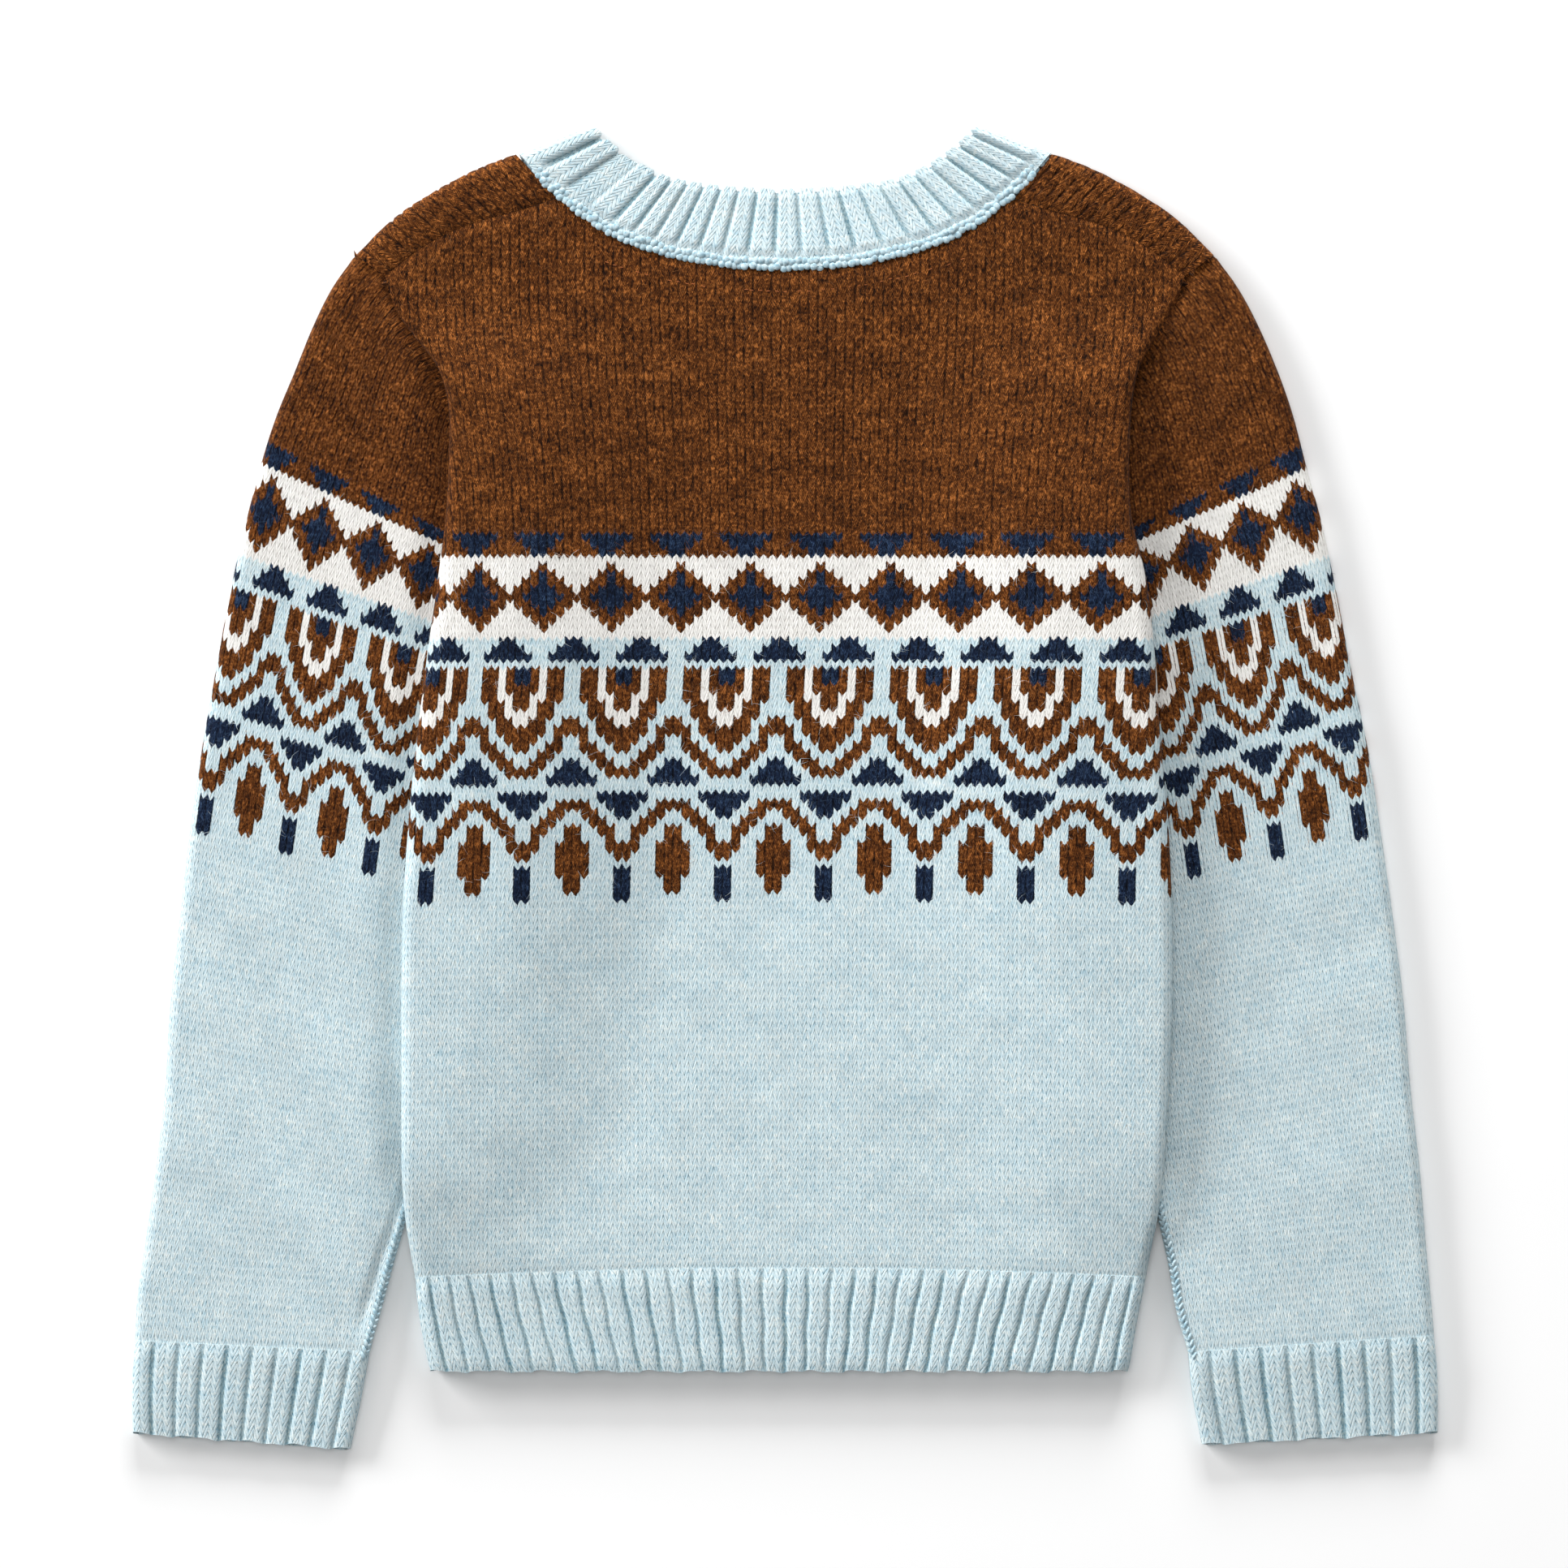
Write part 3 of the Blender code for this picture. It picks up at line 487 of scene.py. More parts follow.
# ---- the body: courses are level lines over y, wales run up and down
knit = {
    "courses": (-72, 0, 15, 43, 89),                    # course number
    "levels": (314.79, 93.75, 47.9, -47.3, -199.9),     # and its y
    "waleLevels": (-199.0, -41.9, -11.6, 1.6, 29.7, 54.5, 77.6, 260.0),
    "waleMiddles": (-25.4, -25.4, -24.9, -24.7, -24.4, -23.1, -22.9, -22.9),
    "waleWidths": (3.42, 3.42, 3.42, 3.465, 3.51, 3.51, 3.564, 3.564),
    "lean": 9.0,            # how far the outer wales lean outward at the armholes
    "gatherLevels": (-199.0, -60.0, -20.0, 60.0, 130.0, 180.0),
    "gather": (1.0, 2.5, 5.0, 7.0, 5.0, 0.0),           # wales crowd toward the left fold by this
    "gatherReach": 26.0,
}


def levelOf(course):
    return np.interp(course, knit["courses"], knit["levels"])


def courseOf(level):
    return np.interp(level, knit["levels"][::-1], knit["courses"][::-1])


def waleAt(number, y):
    middle = np.interp(y, knit["waleLevels"], knit["waleMiddles"])
    width = np.interp(y, knit["waleLevels"], knit["waleWidths"])
    x = middle + number * width
    x = x + knit["lean"] * smooth((y - 100) / 110) * np.clip(x / 140, -1.2, 1.2)
    gather = np.interp(y, knit["gatherLevels"], knit["gather"])
    return x + gather * np.exp(-np.maximum(0.0, x + bodyLie["left"](y)) / knit["gatherReach"])


def stitchesAt(number, cut, y, zig):
    # the place in stitches and courses of a point, where a wale is cut off by the edge of its piece
    width = np.interp(y, knit["waleLevels"], knit["waleWidths"])
    return np.stack([number - cut / width, zig - courseOf(y)], axis=-1)


def knitGrid(topCourse, lastCourse, halves):
    # course and half wale of each point, and how far it is off the level of its course
    course, half = np.arange(lastCourse, topCourse - 1, -1), np.arange(-halves, halves + 1)
    courses, halfWales = np.meshgrid(course, half, indexing="ij")
    zig = np.where(halfWales % 2 == 1, cloth["zigzag"], -cloth["zigzag"]) * (courses < lastCourse)
    return courses, halfWales, zig


neckTop = softLine(*zip(*neckBackSeam[:5]))
shoulderTop = softLine(*zip(*shoulderSeam))


def backTop(x):
    # the line of the neck and shoulder seams
    a = np.abs(x)
    return np.where(a < shoulderSeam[0][0], neckTop(a), shoulderTop(a))


creases = {
    # x and y of both ends, half width and height: soft ridges, and troughs below 0
    "back": (
        (-130, 120, -128, -20, 7, 0.5), (-118, 60, -122, -120, 12, -0.25), (128, 150, 131, 30, 8, 0.4),
        (-60, 60, -75, -60, 26, 0.35), (40, 20, 58, -90, 30, 0.3), (-20, -60, 10, -150, 24, -0.25),
        (95, -40, 100, -150, 22, 0.25), (-105, -120, -88, -190, 18, 0.2), (70, 150, 30, 190, 20, 0.2),
        (-70, 150, -30, 180, 20, 0.2),
    ),
    "sleeve": (
        # on the right sleeve x is mirrored
        (-215, 120, -165, 90, 9, 0.4), (-225, 20, -170, -40, 16, 0.4), (-232, -60, -190, -90, 14, -0.3),
        (-240, -150, -200, -175, 16, 0.35), (-200, 150, -160, 130, 8, -0.3),
    ),
}


def ridges(table, x, y):
    height = np.zeros_like(x)
    for x0, y0, x1, y1, width, rise in table:
        wayX, wayY = x1 - x0, y1 - y0
        share = np.clip(((x - x0) * wayX + (y - y0) * wayY) / (wayX**2 + wayY**2), 0, 1)
        away = np.hypot(x - x0 - share * wayX, y - y0 - share * wayY)
        height += rise * np.exp(-(away / width) ** 2)
    return height


def archOf(breadth, y):
    # the body's courses arch with the top of the welt
    rise = (y - bodyStart) / (bodyEnd - bodyStart)
    return weltArch * (1 - np.clip(breadth / cloth["halfBreadth"], -1, 1) ** 2) * (1 - rise) ** 2


def seamDip(distance):
    # how far the cloth sinks to a seam at this distance
    return 0.8 * np.exp(-(distance / 2.2) ** 2)


def makeBack():
    courses, halfWales, zig = knitGrid(-56, knit["courses"][-1], 110)
    y = levelOf(courses + zig)
    x = waleAt(halfWales / 2, y)
    for _ in range(3):      # a wale leans, so its end at the seam is found in steps
        cropped = np.minimum(y, backTop(np.clip(x, -shoulderSeam[-1][0], shoulderSeam[-1][0])))
        x = waleAt(halfWales / 2, cropped)
    y = cropped
    skinX, skinZ, flatX = backSkin(bodyLie, x, y)
    onTop = smooth((skinZ - 6.0) / 2.0)
    skinZ = skinZ + onTop * (ridges(creases["back"], skinX, y) - seamDip(backTop(flatX) - y))
    skinZ = skinZ - 0.2 * onTop * (courses == courses[0])
    skinY = y + archOf(flatX, y)
    points = np.stack([skinX, skinY, skinZ], axis=-1)
    stitch = np.floor(halfWales[:-1, :-1] / 2).astype(int)
    yarn = yarnOf(stitch, courses[1:, :-1])
    stitches = stitchesAt(halfWales / 2, x - flatX, y, zig)
    return makeCloth("backPanel", "back_panel", points, stitches, yarn)


foldAt, seamAt = along(shoulderFold), along(shoulderSeam)
foldLine = softLine(*zip(*shoulderFold))
foldShares = np.linspace(0, 1, 200)
foldXs = foldAt(foldShares)[0]
neckSteps = along(neckFrontSeam)(np.linspace(0, 1, 300))


def makeFront():
    courses, halfWales, zig = knitGrid(knit["courses"][0], knit["courses"][-1], 106)
    courses, halfWales, zig = courses[:, ::-1], halfWales[:, ::-1], zig[:, ::-1]
    y = levelOf(courses + zig)
    x = waleAt(halfWales / 2, np.minimum(y, tipY))
    radius = cloth["bodyHeight"] / 2
    a = np.minimum(np.abs(x), tipX)
    side = sideOf(x)
    inNeck = a < neckX
    neckRim = np.interp(a, *neckSteps)
    rim = np.where(inNeck, neckRim, foldLine(a))
    under = np.minimum(y, rim)
    skinX, skinZ, flatX = frontSkin(bodyLie, x, under)
    a = np.minimum(a, np.abs(skinX))
    # over the shoulder fold, and on to the shoulder seam
    over = y - (rim - radius)
    turn = np.clip(over / radius, 0, np.where(inNeck, math.pi / 2, math.pi))
    share = np.interp(a, foldXs, foldShares)
    (foldX, foldY), (seamX, seamY) = foldAt(share), seamAt(share)
    reach = np.hypot(seamX - foldX, seamY - foldY)
    wayX, wayY = (seamX - foldX) / reach, (seamY - foldY) / reach
    off = radius * (1 - np.sin(turn)) + np.maximum(0, over - math.pi * radius)
    off = np.minimum(off, reach - 0.15)
    # the neckline comes down from the fold to the surface
    raised = np.where(inNeck, radius * np.exp(-np.hypot(neckX - a, neckY - neckRim) / 20.0), radius)
    upper = turn > math.pi / 2
    px = np.where(upper, foldX + wayX * off, a)
    py = np.where(upper, foldY + wayY * off, rim - radius * (1 - np.sin(turn)))
    folded = (over > 0) & ((np.abs(x) <= tipX) | (y > tipY))
    px, py = np.where(folded, px, np.abs(skinX)), np.where(folded, py, under)
    pz = np.where(folded, raised * (1 - np.cos(turn)), skinZ)
    pz = pz - np.where(upper, seamDip(reach - off), 0)
    py = py + np.where(folded, 0, archOf(flatX, under))
    points = np.stack([side * px, py, pz], axis=-1)
    stitch = np.floor(np.minimum(halfWales[:-1, :-1], halfWales[:-1, 1:]) / 2).astype(int)
    yarn = yarnOf(stitch, courses[1:, :-1])
    stitches = stitchesAt(halfWales / 2, x - np.where(folded, side * a, flatX), y, zig)
    return makeCloth("frontPanel", "front_panel", points, stitches, yarn)


# ---- ribs: two plain wales stand proud, then a furrow of purl
rib = {
    "places": (0.0, 0.06, 0.12, 0.19, 0.28, 0.38, 0.5, 0.62, 0.72, 0.81, 0.88, 0.94),       # share of its width
    "heights": (0.0, 0.06, 0.5, 0.88, 1.0, 0.95, 0.82, 0.95, 1.0, 0.88, 0.5, 0.06),         # share of its height
    "height": 0.8,
}


def ribStitches(wales, rows):
    # legs of a V rise outward, so between the Vs a course lies lower than in their middles
    rise = cloth["zigzag"] * np.cos(wales * 2 * math.pi)
    return np.stack([np.broadcast_to(wales, rows.shape), rows - rise], axis=-1)


def ribColumns(start, end, widths, flat=()):
    # flat: number of a rib and the share of its width that is plain purl before the rib stands up
    stops = np.concatenate(([0.0], np.cumsum(widths))) / np.sum(widths)
    places, heights, wales, firstWale = [], [], [], 0
    for k in range(len(widths)):
        before = flat[1] if flat and flat[0] == k else 0.0
        if before:
            for share in (0.0, 0.25, 0.5, 0.75):
                places.append(stops[k] + (stops[k + 1] - stops[k]) * before * share)
                heights.append(0.5 if share else 0.0)
                wales.append(firstWale + 2 * share - 0.5)
            firstWale += 2
        for place, height in zip(rib["places"], rib["heights"]):
            places.append(stops[k] + (stops[k + 1] - stops[k]) * (before + (1 - before) * place))
            heights.append(max(height, 0.5) if before and place < 0.1 else height)
            wales.append(firstWale - 0.5 + place / 0.12 if place < 0.06 else firstWale + (place - 0.06) / 0.44)
        firstWale += 3
    places = start + (end - start) * np.array([*places, 1.0])
    return places, np.array([*heights, 0.0]), np.array([*wales, firstWale - 0.5])


def furrowShadeOf(heights, wales):
    # painted shade in the furrow, how dark it is: some furrows are open, some nearly shut
    return np.clip(1 - heights / 0.6, 0, 1) * (0.68 + 0.32 * np.sin(1.9 * np.round((wales + 0.5) / 3) + 0.4))


def edgeWave(wales, up, pace):
    # the cast-off edge is a little wavy
    return (0.4 * np.sin(wales * pace + 0.8) + 0.3 * np.sin(wales * 2.1)) * (1 - up) ** 2


hem = {
    "ribs": 34, "courses": 13,
    "bulge": 0.24,          # ribs in the middle are wider by this
    "lean": 0.05,           # near the sides they lean inward on their way down,
    "wander": 0.0022,       # and none is quite straight; both as shares of half the breadth
}


def makeHem(front):
    widths = 1 + hem["bulge"] * (1 - np.linspace(-1, 1, hem["ribs"]) ** 2)
    places, heights, wales = ribColumns(-1.0, 1.0, widths)
    rows, columns = np.meshgrid(np.arange(hem["courses"] + 1), places, indexing="ij")
    up = rows / hem["courses"]
    columns = columns - hem["lean"] * (1 - up) * columns * (1 - columns**2) * 2
    wander = hem["wander"] * np.sin(rows * 0.9 + 2.1 * np.round(wales / 3))
    columns = columns + wander * (1 - np.abs(columns) ** 6)
    level = hemLevel + (weltTop - hemLevel) * up
    side = sideOf(columns)
    limit, _, _, radius, flat = sectionAt(weltLie, side, level)
    last = 2 * flat + math.pi * radius - limit - cloth["sideSeam"] if front else limit
    skinX, skinZ, flatX = (frontSkin if front else backSkin)(weltLie, columns * last, level)
    skinY = level + weltArch * up * (1 - np.minimum(1, np.abs(flatX) / cloth["halfBreadth"]) ** 2)
    points = np.stack([skinX, skinY + edgeWave(wales, up, 0.83), skinZ], axis=-1)
    # stand the ribs proud of the skin
    fade = smooth((1 - np.abs(columns)) / 0.012)
    rise = heights * rib["height"] * fade * smooth(up / 0.05 + 0.4) * smooth((1 - up) / 0.14)
    angle = np.clip((np.abs(flatX) - flat) / radius, 0, math.pi)
    normal = [side * np.sin(angle), np.zeros_like(angle), np.cos(angle)]
    if front:       # it lies on its ribs, so here the furrows are let in
        normal = [np.zeros_like(angle), np.zeros_like(angle), np.where(angle > 0, 0.0, 1.0)]
        rise = (1 - heights) * rib["height"] * fade
    points = points + np.stack(normal, axis=-1) * rise[..., None]
    # painted shade in the rib furrows
    furrow = furrowShadeOf(heights, wales)[None, :] * smooth((1 - up) / 0.1)
    stitches = ribStitches(wales, rows)
    if front:
        points, stitches, furrow = points[:, ::-1], stitches[:, ::-1], furrow[:, ::-1]
    name, node = ("hemRibFront", "hem_rib_front") if front else ("hemRibBack", "hem_rib_back")
    return makeCloth(name, node, points, stitches, furrow=furrow)


# ---- sleeves: outer and inner edge, and how far a row follows the armhole. tuck: where the back's
# edge stands off the sleeve: its y, its reach, and how far the first course goes under it there
sleeves = {
    "left": {
        "side": -1, "arch": 2, "tuck": (172, 16, 9.0),
        "rows": (
            (174.6, 216.5, 121.8, 118.8, 1.00), (184.0, 203.5, 121.1, 114.8, 0.70),
            (191.8, 188.0, 120.5, 110.2, 0.40), (199.8, 168.3, 119.8, 104.9, 0.18),
            (207.0, 150.8, 119.1, 98.3, 0.05), (213.0, 132.0, 118.5, 89.8, 0.00),
            (219.5, 107.2, 118.2, 70.6, 0.00), (225.2, 81.8, 118.2, 45.5, 0.00),
            (231.2, 49.5, 119.2, 14.8, 0.00), (236.8, 18.2, 121.1, -13.9, 0.00),
            (242.0, -16.5, 125.1, -45.2, 0.00), (246.4, -54.5, 131.0, -78.2, 0.00),
            (250.2, -89.1, 138.0, -109.9, 0.00), (252.2, -122.1, 145.2, -139.6, 0.00),
            (256.0, -155.1, 152.0, -168.3, 0.00), (260.2, -184.8, 159.2, -194.0, 0.00),
            (263.4, -206.2, 164.4, -213.5, 0.00), (264.6, -224.4, 168.8, -229.0, 0.00),
        ),
        "cuff": ((264.6, -225.0, 168.9, -229.6), (265.8, -243.5, 172.4, -248.6), (265.4, -262.8, 176.8, -269.4)),
    },
    "right": {
        "side": 1, "arch": 3, "tuck": (184, 11, 0.0),
        "rows": (
            (174.6, 216.5, 121.8, 118.8, 1.00), (184.2, 203.5, 121.1, 114.8, 0.70),
            (192.6, 188.0, 120.5, 110.2, 0.40), (201.0, 168.3, 119.8, 104.9, 0.18),
            (207.0, 150.8, 119.1, 98.3, 0.05), (212.4, 130.0, 118.5, 89.8, 0.00),
            (218.6, 107.2, 118.2, 70.6, 0.00), (224.4, 79.8, 118.2, 45.5, 0.00),
            (230.6, 47.5, 119.2, 14.8, 0.00), (237.2, 16.2, 121.1, -13.9, 0.00),
            (242.6, -18.5, 125.1, -45.2, 0.00), (248.0, -56.5, 130.5, -78.2, 0.00),
            (252.0, -89.1, 137.0, -110.9, 0.00), (254.6, -122.1, 143.5, -140.6, 0.00),
            (258.4, -155.1, 150.3, -169.3, 0.00), (260.8, -184.8, 156.0, -194.0, 0.00),
            (262.8, -206.2, 159.6, -214.5, 0.00), (264.2, -222.4, 164.0, -229.0, 0.00),
        ),
        "cuff": ((264.2, -223.0, 164.1, -229.6), (265.7, -240.5, 166.0, -247.8), (265.8, -262.6, 169.8, -267.4)),
    },
    "patternRows": (5.0, 5.72, 9.52, 9.82),     # rows of the table
    "patternCourses": (0, 5.5, 38, 41),         # and the courses that lie on them
    "course": 3.4,                              # height of a course below the pattern
    "capCourses": 27,                           # courses above it
    "firstWale": 1.7,                           # from the outer fold
    "waleWidth": 2.9,
    "ribs": 10, "cuffCourses": 12,
    "sink": 2.3, "sinkReach": 8.0,              # how it sinks beside the body's fold
    "droop": 1.6, "furrow": 1.3,                # how the left one droops to its seam, with a furrow
}


def tubeSkin(breadth, width, height):
    # distance from the outer edge and height, at a breadth of cloth from the outer fold
    radius = height / 2
    quarter = math.pi * radius / 2
    half = width - 2 * radius + 2 * quarter
    a = np.minimum(np.abs(breadth), half)
    first, last = np.clip(a / radius, 0, math.pi / 2), np.clip((half - a) / radius, 0, math.pi / 2)
    inset = np.where(a < quarter, radius * (1 - np.cos(first)),
                     np.where(a > half - quarter, width - radius * (1 - np.cos(last)), radius + a - quarter))
    rise = radius * np.minimum(np.sin(first), np.sin(last))
    return inset, radius + sideOf(breadth) * rise, sideOf(breadth) * a


def seamDroop(y):
    # where the left sleeve's inner edge droops: below its tucked part and above the cuff
    return smooth((-105 - y) / 30) * smooth((y + 228) / 20)


def makeSleeve(which):
    plan = sleeves[which]
    side = plan["side"]
    columns = [np.array(c, float) for c in zip(*plan["rows"])]
    index = np.arange(len(columns[0]), dtype=float)
    lines = [softLine(index, c) for c in columns]
    fineIndex = np.linspace(0, index[-1], 800)
    midX = (lines[0](fineIndex) + lines[2](fineIndex)) / 2
    midY = (lines[1](fineIndex) + lines[3](fineIndex)) / 2
    length = np.concatenate(([0.0], np.cumsum(np.hypot(np.diff(midX), np.diff(midY)))))
    anchors = np.interp(sleeves["patternRows"], fineIndex, length)
    lastCourse = round(sleeves["patternCourses"][-1] + (length[-1] - anchors[-1]) / sleeves["course"])
    courseStops = [-sleeves["capCourses"], *sleeves["patternCourses"], lastCourse]
    lengthStops = [0.0, *anchors, length[-1]]
    courses, halfWales, zig = knitGrid(-sleeves["capCourses"], lastCourse, 94)
    actual = np.maximum(courses + zig, courseStops[0])
    row = np.interp(np.interp(actual, courseStops, lengthStops), length, fineIndex)
    outerX, outerY, innerX, innerY, bending = [line(row) for line in lines]
    # the last course goes a little under the cuff
    last = courses == lastCourse
    outerY, innerY = outerY - 0.9 * last, innerY - 0.9 * last
    width = np.hypot(outerX - innerX, outerY - innerY)
    breadth = sleeves["firstWale"] + halfWales / 2 * sleeves["waleWidth"]
    inset, z, kept = tubeSkin(breadth, width, cloth["sleeveHeight"])
    share = inset / width
    line = np.array(armhole, float)
    knots = np.concatenate(([0.0], np.cumsum(np.hypot(*np.diff(line, axis=0).T))))
    knots /= knots[-1]
    bendX, bendY = [np.interp(share, knots, line[:, k]) - (line[0, k] + (line[-1, k] - line[0, k]) * share)
                    for k in (0, 1)]
    bending = np.clip(bending, 0, 1)
    # the first course dips into the armhole seam
    onTop, first = smooth((z - 4.0) / 3.0), np.exp(-((actual - courseStops[0]) / 1.1) ** 2)
    x = outerX + (innerX - outerX) * share + bendX * bending - 1.6 * onTop * first + 0.6 * (1 - onTop) * first
    y = outerY + (innerY - outerY) * share + bendY * bending + 1.0 * onTop * first - 0.5 * (1 - onTop) * first
    middle, reach, tuck = plan["tuck"]
    bump = np.exp(-((y - middle) / reach) ** 2)
    x, z = x - tuck * bump * onTop * first, z - onTop * (1.6 - 3.3 * bump) * first
    beside = x - bodyLie[which](y)
    sink = sleeves["sink"] * np.exp(-((beside - 1.0) / sleeves["sinkReach"]) ** 2)
    sink = sink * smooth((185 - y) / 30) * smooth((y + 185) / 30)
    z = z + onTop * (ridges(creases["sleeve"], -x, y) - sink - 0.2 * last)
    if side < 0:
        within = x - innerX
        furrow = sleeves["furrow"] * np.exp(-((within - 3.5 - 3 * smooth((-150 - y) / 60)) / 1.7) ** 2)
        z = z - onTop * seamDroop(y) * (furrow + sleeves["droop"] * np.exp(-(within / 13) ** 2))
    points = np.stack([side * x, y, z], axis=-1)
    uncut = np.abs(actual - courses - zig) < 1e-6
    stitches = np.stack([(kept - sleeves["firstWale"]) / sleeves["waleWidth"], zig * uncut - actual], axis=-1)
    stitch = np.floor(halfWales[:-1, :-1] / 2).astype(int)
    yarn = yarnOf(stitch, courses[1:, :-1], arch=plan["arch"])
    if side > 0:
        points, stitches, yarn = points[:, ::-1], stitches[:, ::-1], yarn[:, ::-1]
    return makeCloth("sleeve" + which.capitalize(), "sleeve_" + which, points, stitches, yarn)


def makeCuff(which):
    plan = sleeves[which]
    side = plan["side"]
    table = np.array(plan["cuff"], float)
    count = sleeves["cuffCourses"]
    topPlaces, topHeights, topWales = ribColumns(0.0, 1.0, np.ones(sleeves["ribs"]))
    places = np.concatenate([topPlaces, 2 - topPlaces[::-1][1:]])
    heights = np.concatenate([topHeights, topHeights[::-1][1:]])
    wales = np.concatenate([topWales, 6 * sleeves["ribs"] - topWales[::-1][1:]])
    rows, columns = np.meshgrid(np.arange(count + 1), places, indexing="ij")
    up = rows / count
    lines = [softLine([0.0, 0.5, 1.0], table[::-1, k]) for k in range(4)]
    outerX, outerY, innerX, innerY = [line(up) for line in lines]
    width = np.hypot(outerX - innerX, outerY - innerY)
    height = cloth["sleeveHeight"] - 2.4 * (1 - up)
    radius = height / 2
    half = width - 2 * radius + math.pi * radius
    breadth = np.where(columns <= 1, columns, -(2 - columns)) * half
    # the fold and the underarm keep their round side free of ribs
    inset, z, kept = tubeSkin(breadth, width, height)
    share = inset / width
    first = np.clip(np.abs(kept) / radius, 0, math.pi / 2)
    last = np.clip((half - np.abs(kept)) / radius, 0, math.pi / 2)
    lift = np.minimum(np.sin(first), np.sin(last))
    outward = np.where(np.abs(kept) < half / 2, -np.cos(first), np.cos(last))
    rise = heights * rib["height"] * np.where(breadth < 0, 0.0, 1.0) * lift * smooth((1 - up) / 0.14)
    wayX, wayY = (innerX - outerX) / width, (innerY - outerY) / width
    x = outerX + (innerX - outerX) * share + wayX * outward * rise
    y = outerY + (innerY - outerY) * share + wayY * outward * rise
    y = y + edgeWave(wales, up, 0.9)
    z = z + np.where(breadth < 0, (1 - heights) * rib["height"] * lift, lift * rise)
    points = np.stack([side * x, y, z], axis=-1)
    # painted shade in the rib furrows
    furrow = furrowShadeOf(heights, wales)[None, :] * smooth((1 - up) / 0.1)
    stitches = ribStitches(wales, rows)
    if side > 0:
        points, stitches, furrow = points[:, ::-1], stitches[:, ::-1], furrow[:, ::-1]
    return makeCloth("cuff" + which.capitalize(), "cuff_" + which, points, stitches, furrow=furrow)


# ---- the neckband: a ring, its back over its front
neck = {
    # breadths of its ribs, from the left fold
    "widths": (31, 31, 57, 22, 22, 22, 23, 24, 25, 27, 27, 28, 27, 28, 28, 26, 24, 24, 24, 23, 23, 24),
    "flat": (2, 0.44),                      # plain purl at the left shoulder
    "courses": 12, "droop": 3.0, "length": 210.0, "ribHeight": 0.9,
    "bow": 2.0,                             # at the top every rib ends in a small bow
}


def makeNeckband():
    topPlaces, topHeights, topWales = ribColumns(-1.0, 1.0, neck["widths"], neck["flat"])
    lowPlaces, lowHeights, lowWales = [line[::-1][1:-1] for line in ribColumns(-1.0, 1.0, neck["widths"])]
    places = np.concatenate([topPlaces, lowPlaces, topPlaces[:1]])
    below = np.concatenate([np.zeros(len(topPlaces)), np.ones(len(lowPlaces)), [0]]) == 1
    heights = np.concatenate([topHeights, lowHeights, topHeights[:1]])
    ribWales = 6 * len(neck["widths"]) + 2
    wales = np.concatenate([topWales, ribWales - lowWales, [ribWales + 0.5]])
    perCourse = 3
    rows, columns = np.meshgrid(np.arange(perCourse * neck["courses"] + 1), places, indexing="ij")
    up = rows / (perCourse * neck["courses"])
    radius = cloth["bodyHeight"] / 2
    reach = 1 - np.abs(columns)
    halfLength, quarter = neck["length"] / 2, radius * math.pi / 2
    turn = np.clip(reach * halfLength / quarter, 0, 1) * math.pi / 2
    level = (reach * halfLength - quarter) / (halfLength - quarter) * (halfLength - radius)
    inset = np.where(turn < math.pi / 2, radius * (1 - np.cos(turn)), radius + level) / halfLength
    z = radius + np.where(below, -1, 1) * radius * np.sin(turn)
    place = np.clip(1 - inset, 0, 1)
    side = sideOf(columns)
    backStart, backEnd = along(neckBackSeam)(place), along(neckBackEdge)(place)
    frontStart, frontEnd = along(neckFrontSeam)(place), along(neckFrontEdge)(place)
    startX, startY = [np.where(below, f, b) for f, b in zip(frontStart, backStart)]
    endX, endY = [np.where(below, f, b) for f, b in zip(frontEnd, backEnd)]
    depth = np.hypot(endX - startX, endY - startY)
    gap = np.where(below, cloth["seam"], 0.15) / depth
    bow = neck["bow"] * (heights - 0.5) * smooth((up - 0.84) / 0.16)
    share = gap + (1 - gap) * up + bow / depth
    x = startX + (endX - startX) * share
    y = startY + (endY - startY) * share
    droop = np.where(below, 0.0, neck["droop"]) * up * (1 - place**2)
    strength = smooth((up - 0.10) / 0.14) * smooth((1 - up) / 0.16 + 0.2)
    rise = heights * neck["ribHeight"] * strength * np.where(below, 0.0, np.sin(turn))
    z = z + rise - droop
    points = np.stack([side * x, y, z], axis=-1)
    # painted shade in the rib furrows
    furrow = furrowShadeOf(heights, wales)[None, :] * smooth((up - 0.14) / 0.15) * smooth((1 - up) / 0.08)
    return makeCloth("neckBand", "neckband", points, ribStitches(wales, rows / perCourse), furrow=furrow)


back, front = makeBack(), makeFront()
makeHem(front=False)
makeHem(front=True)
sleeveLeft, sleeveRight = makeSleeve("left"), makeSleeve("right")
makeCuff("left")
makeCuff("right")
makeNeckband()

# ---- loose fibres, most of them where two yarns meet
fibres = {"count": 22000, "length": (1.4, 4.2), "width": 0.09,
          "colours": ("#8a5a34", "#41526a", "#f3f1ec", "#dbe7ec")}


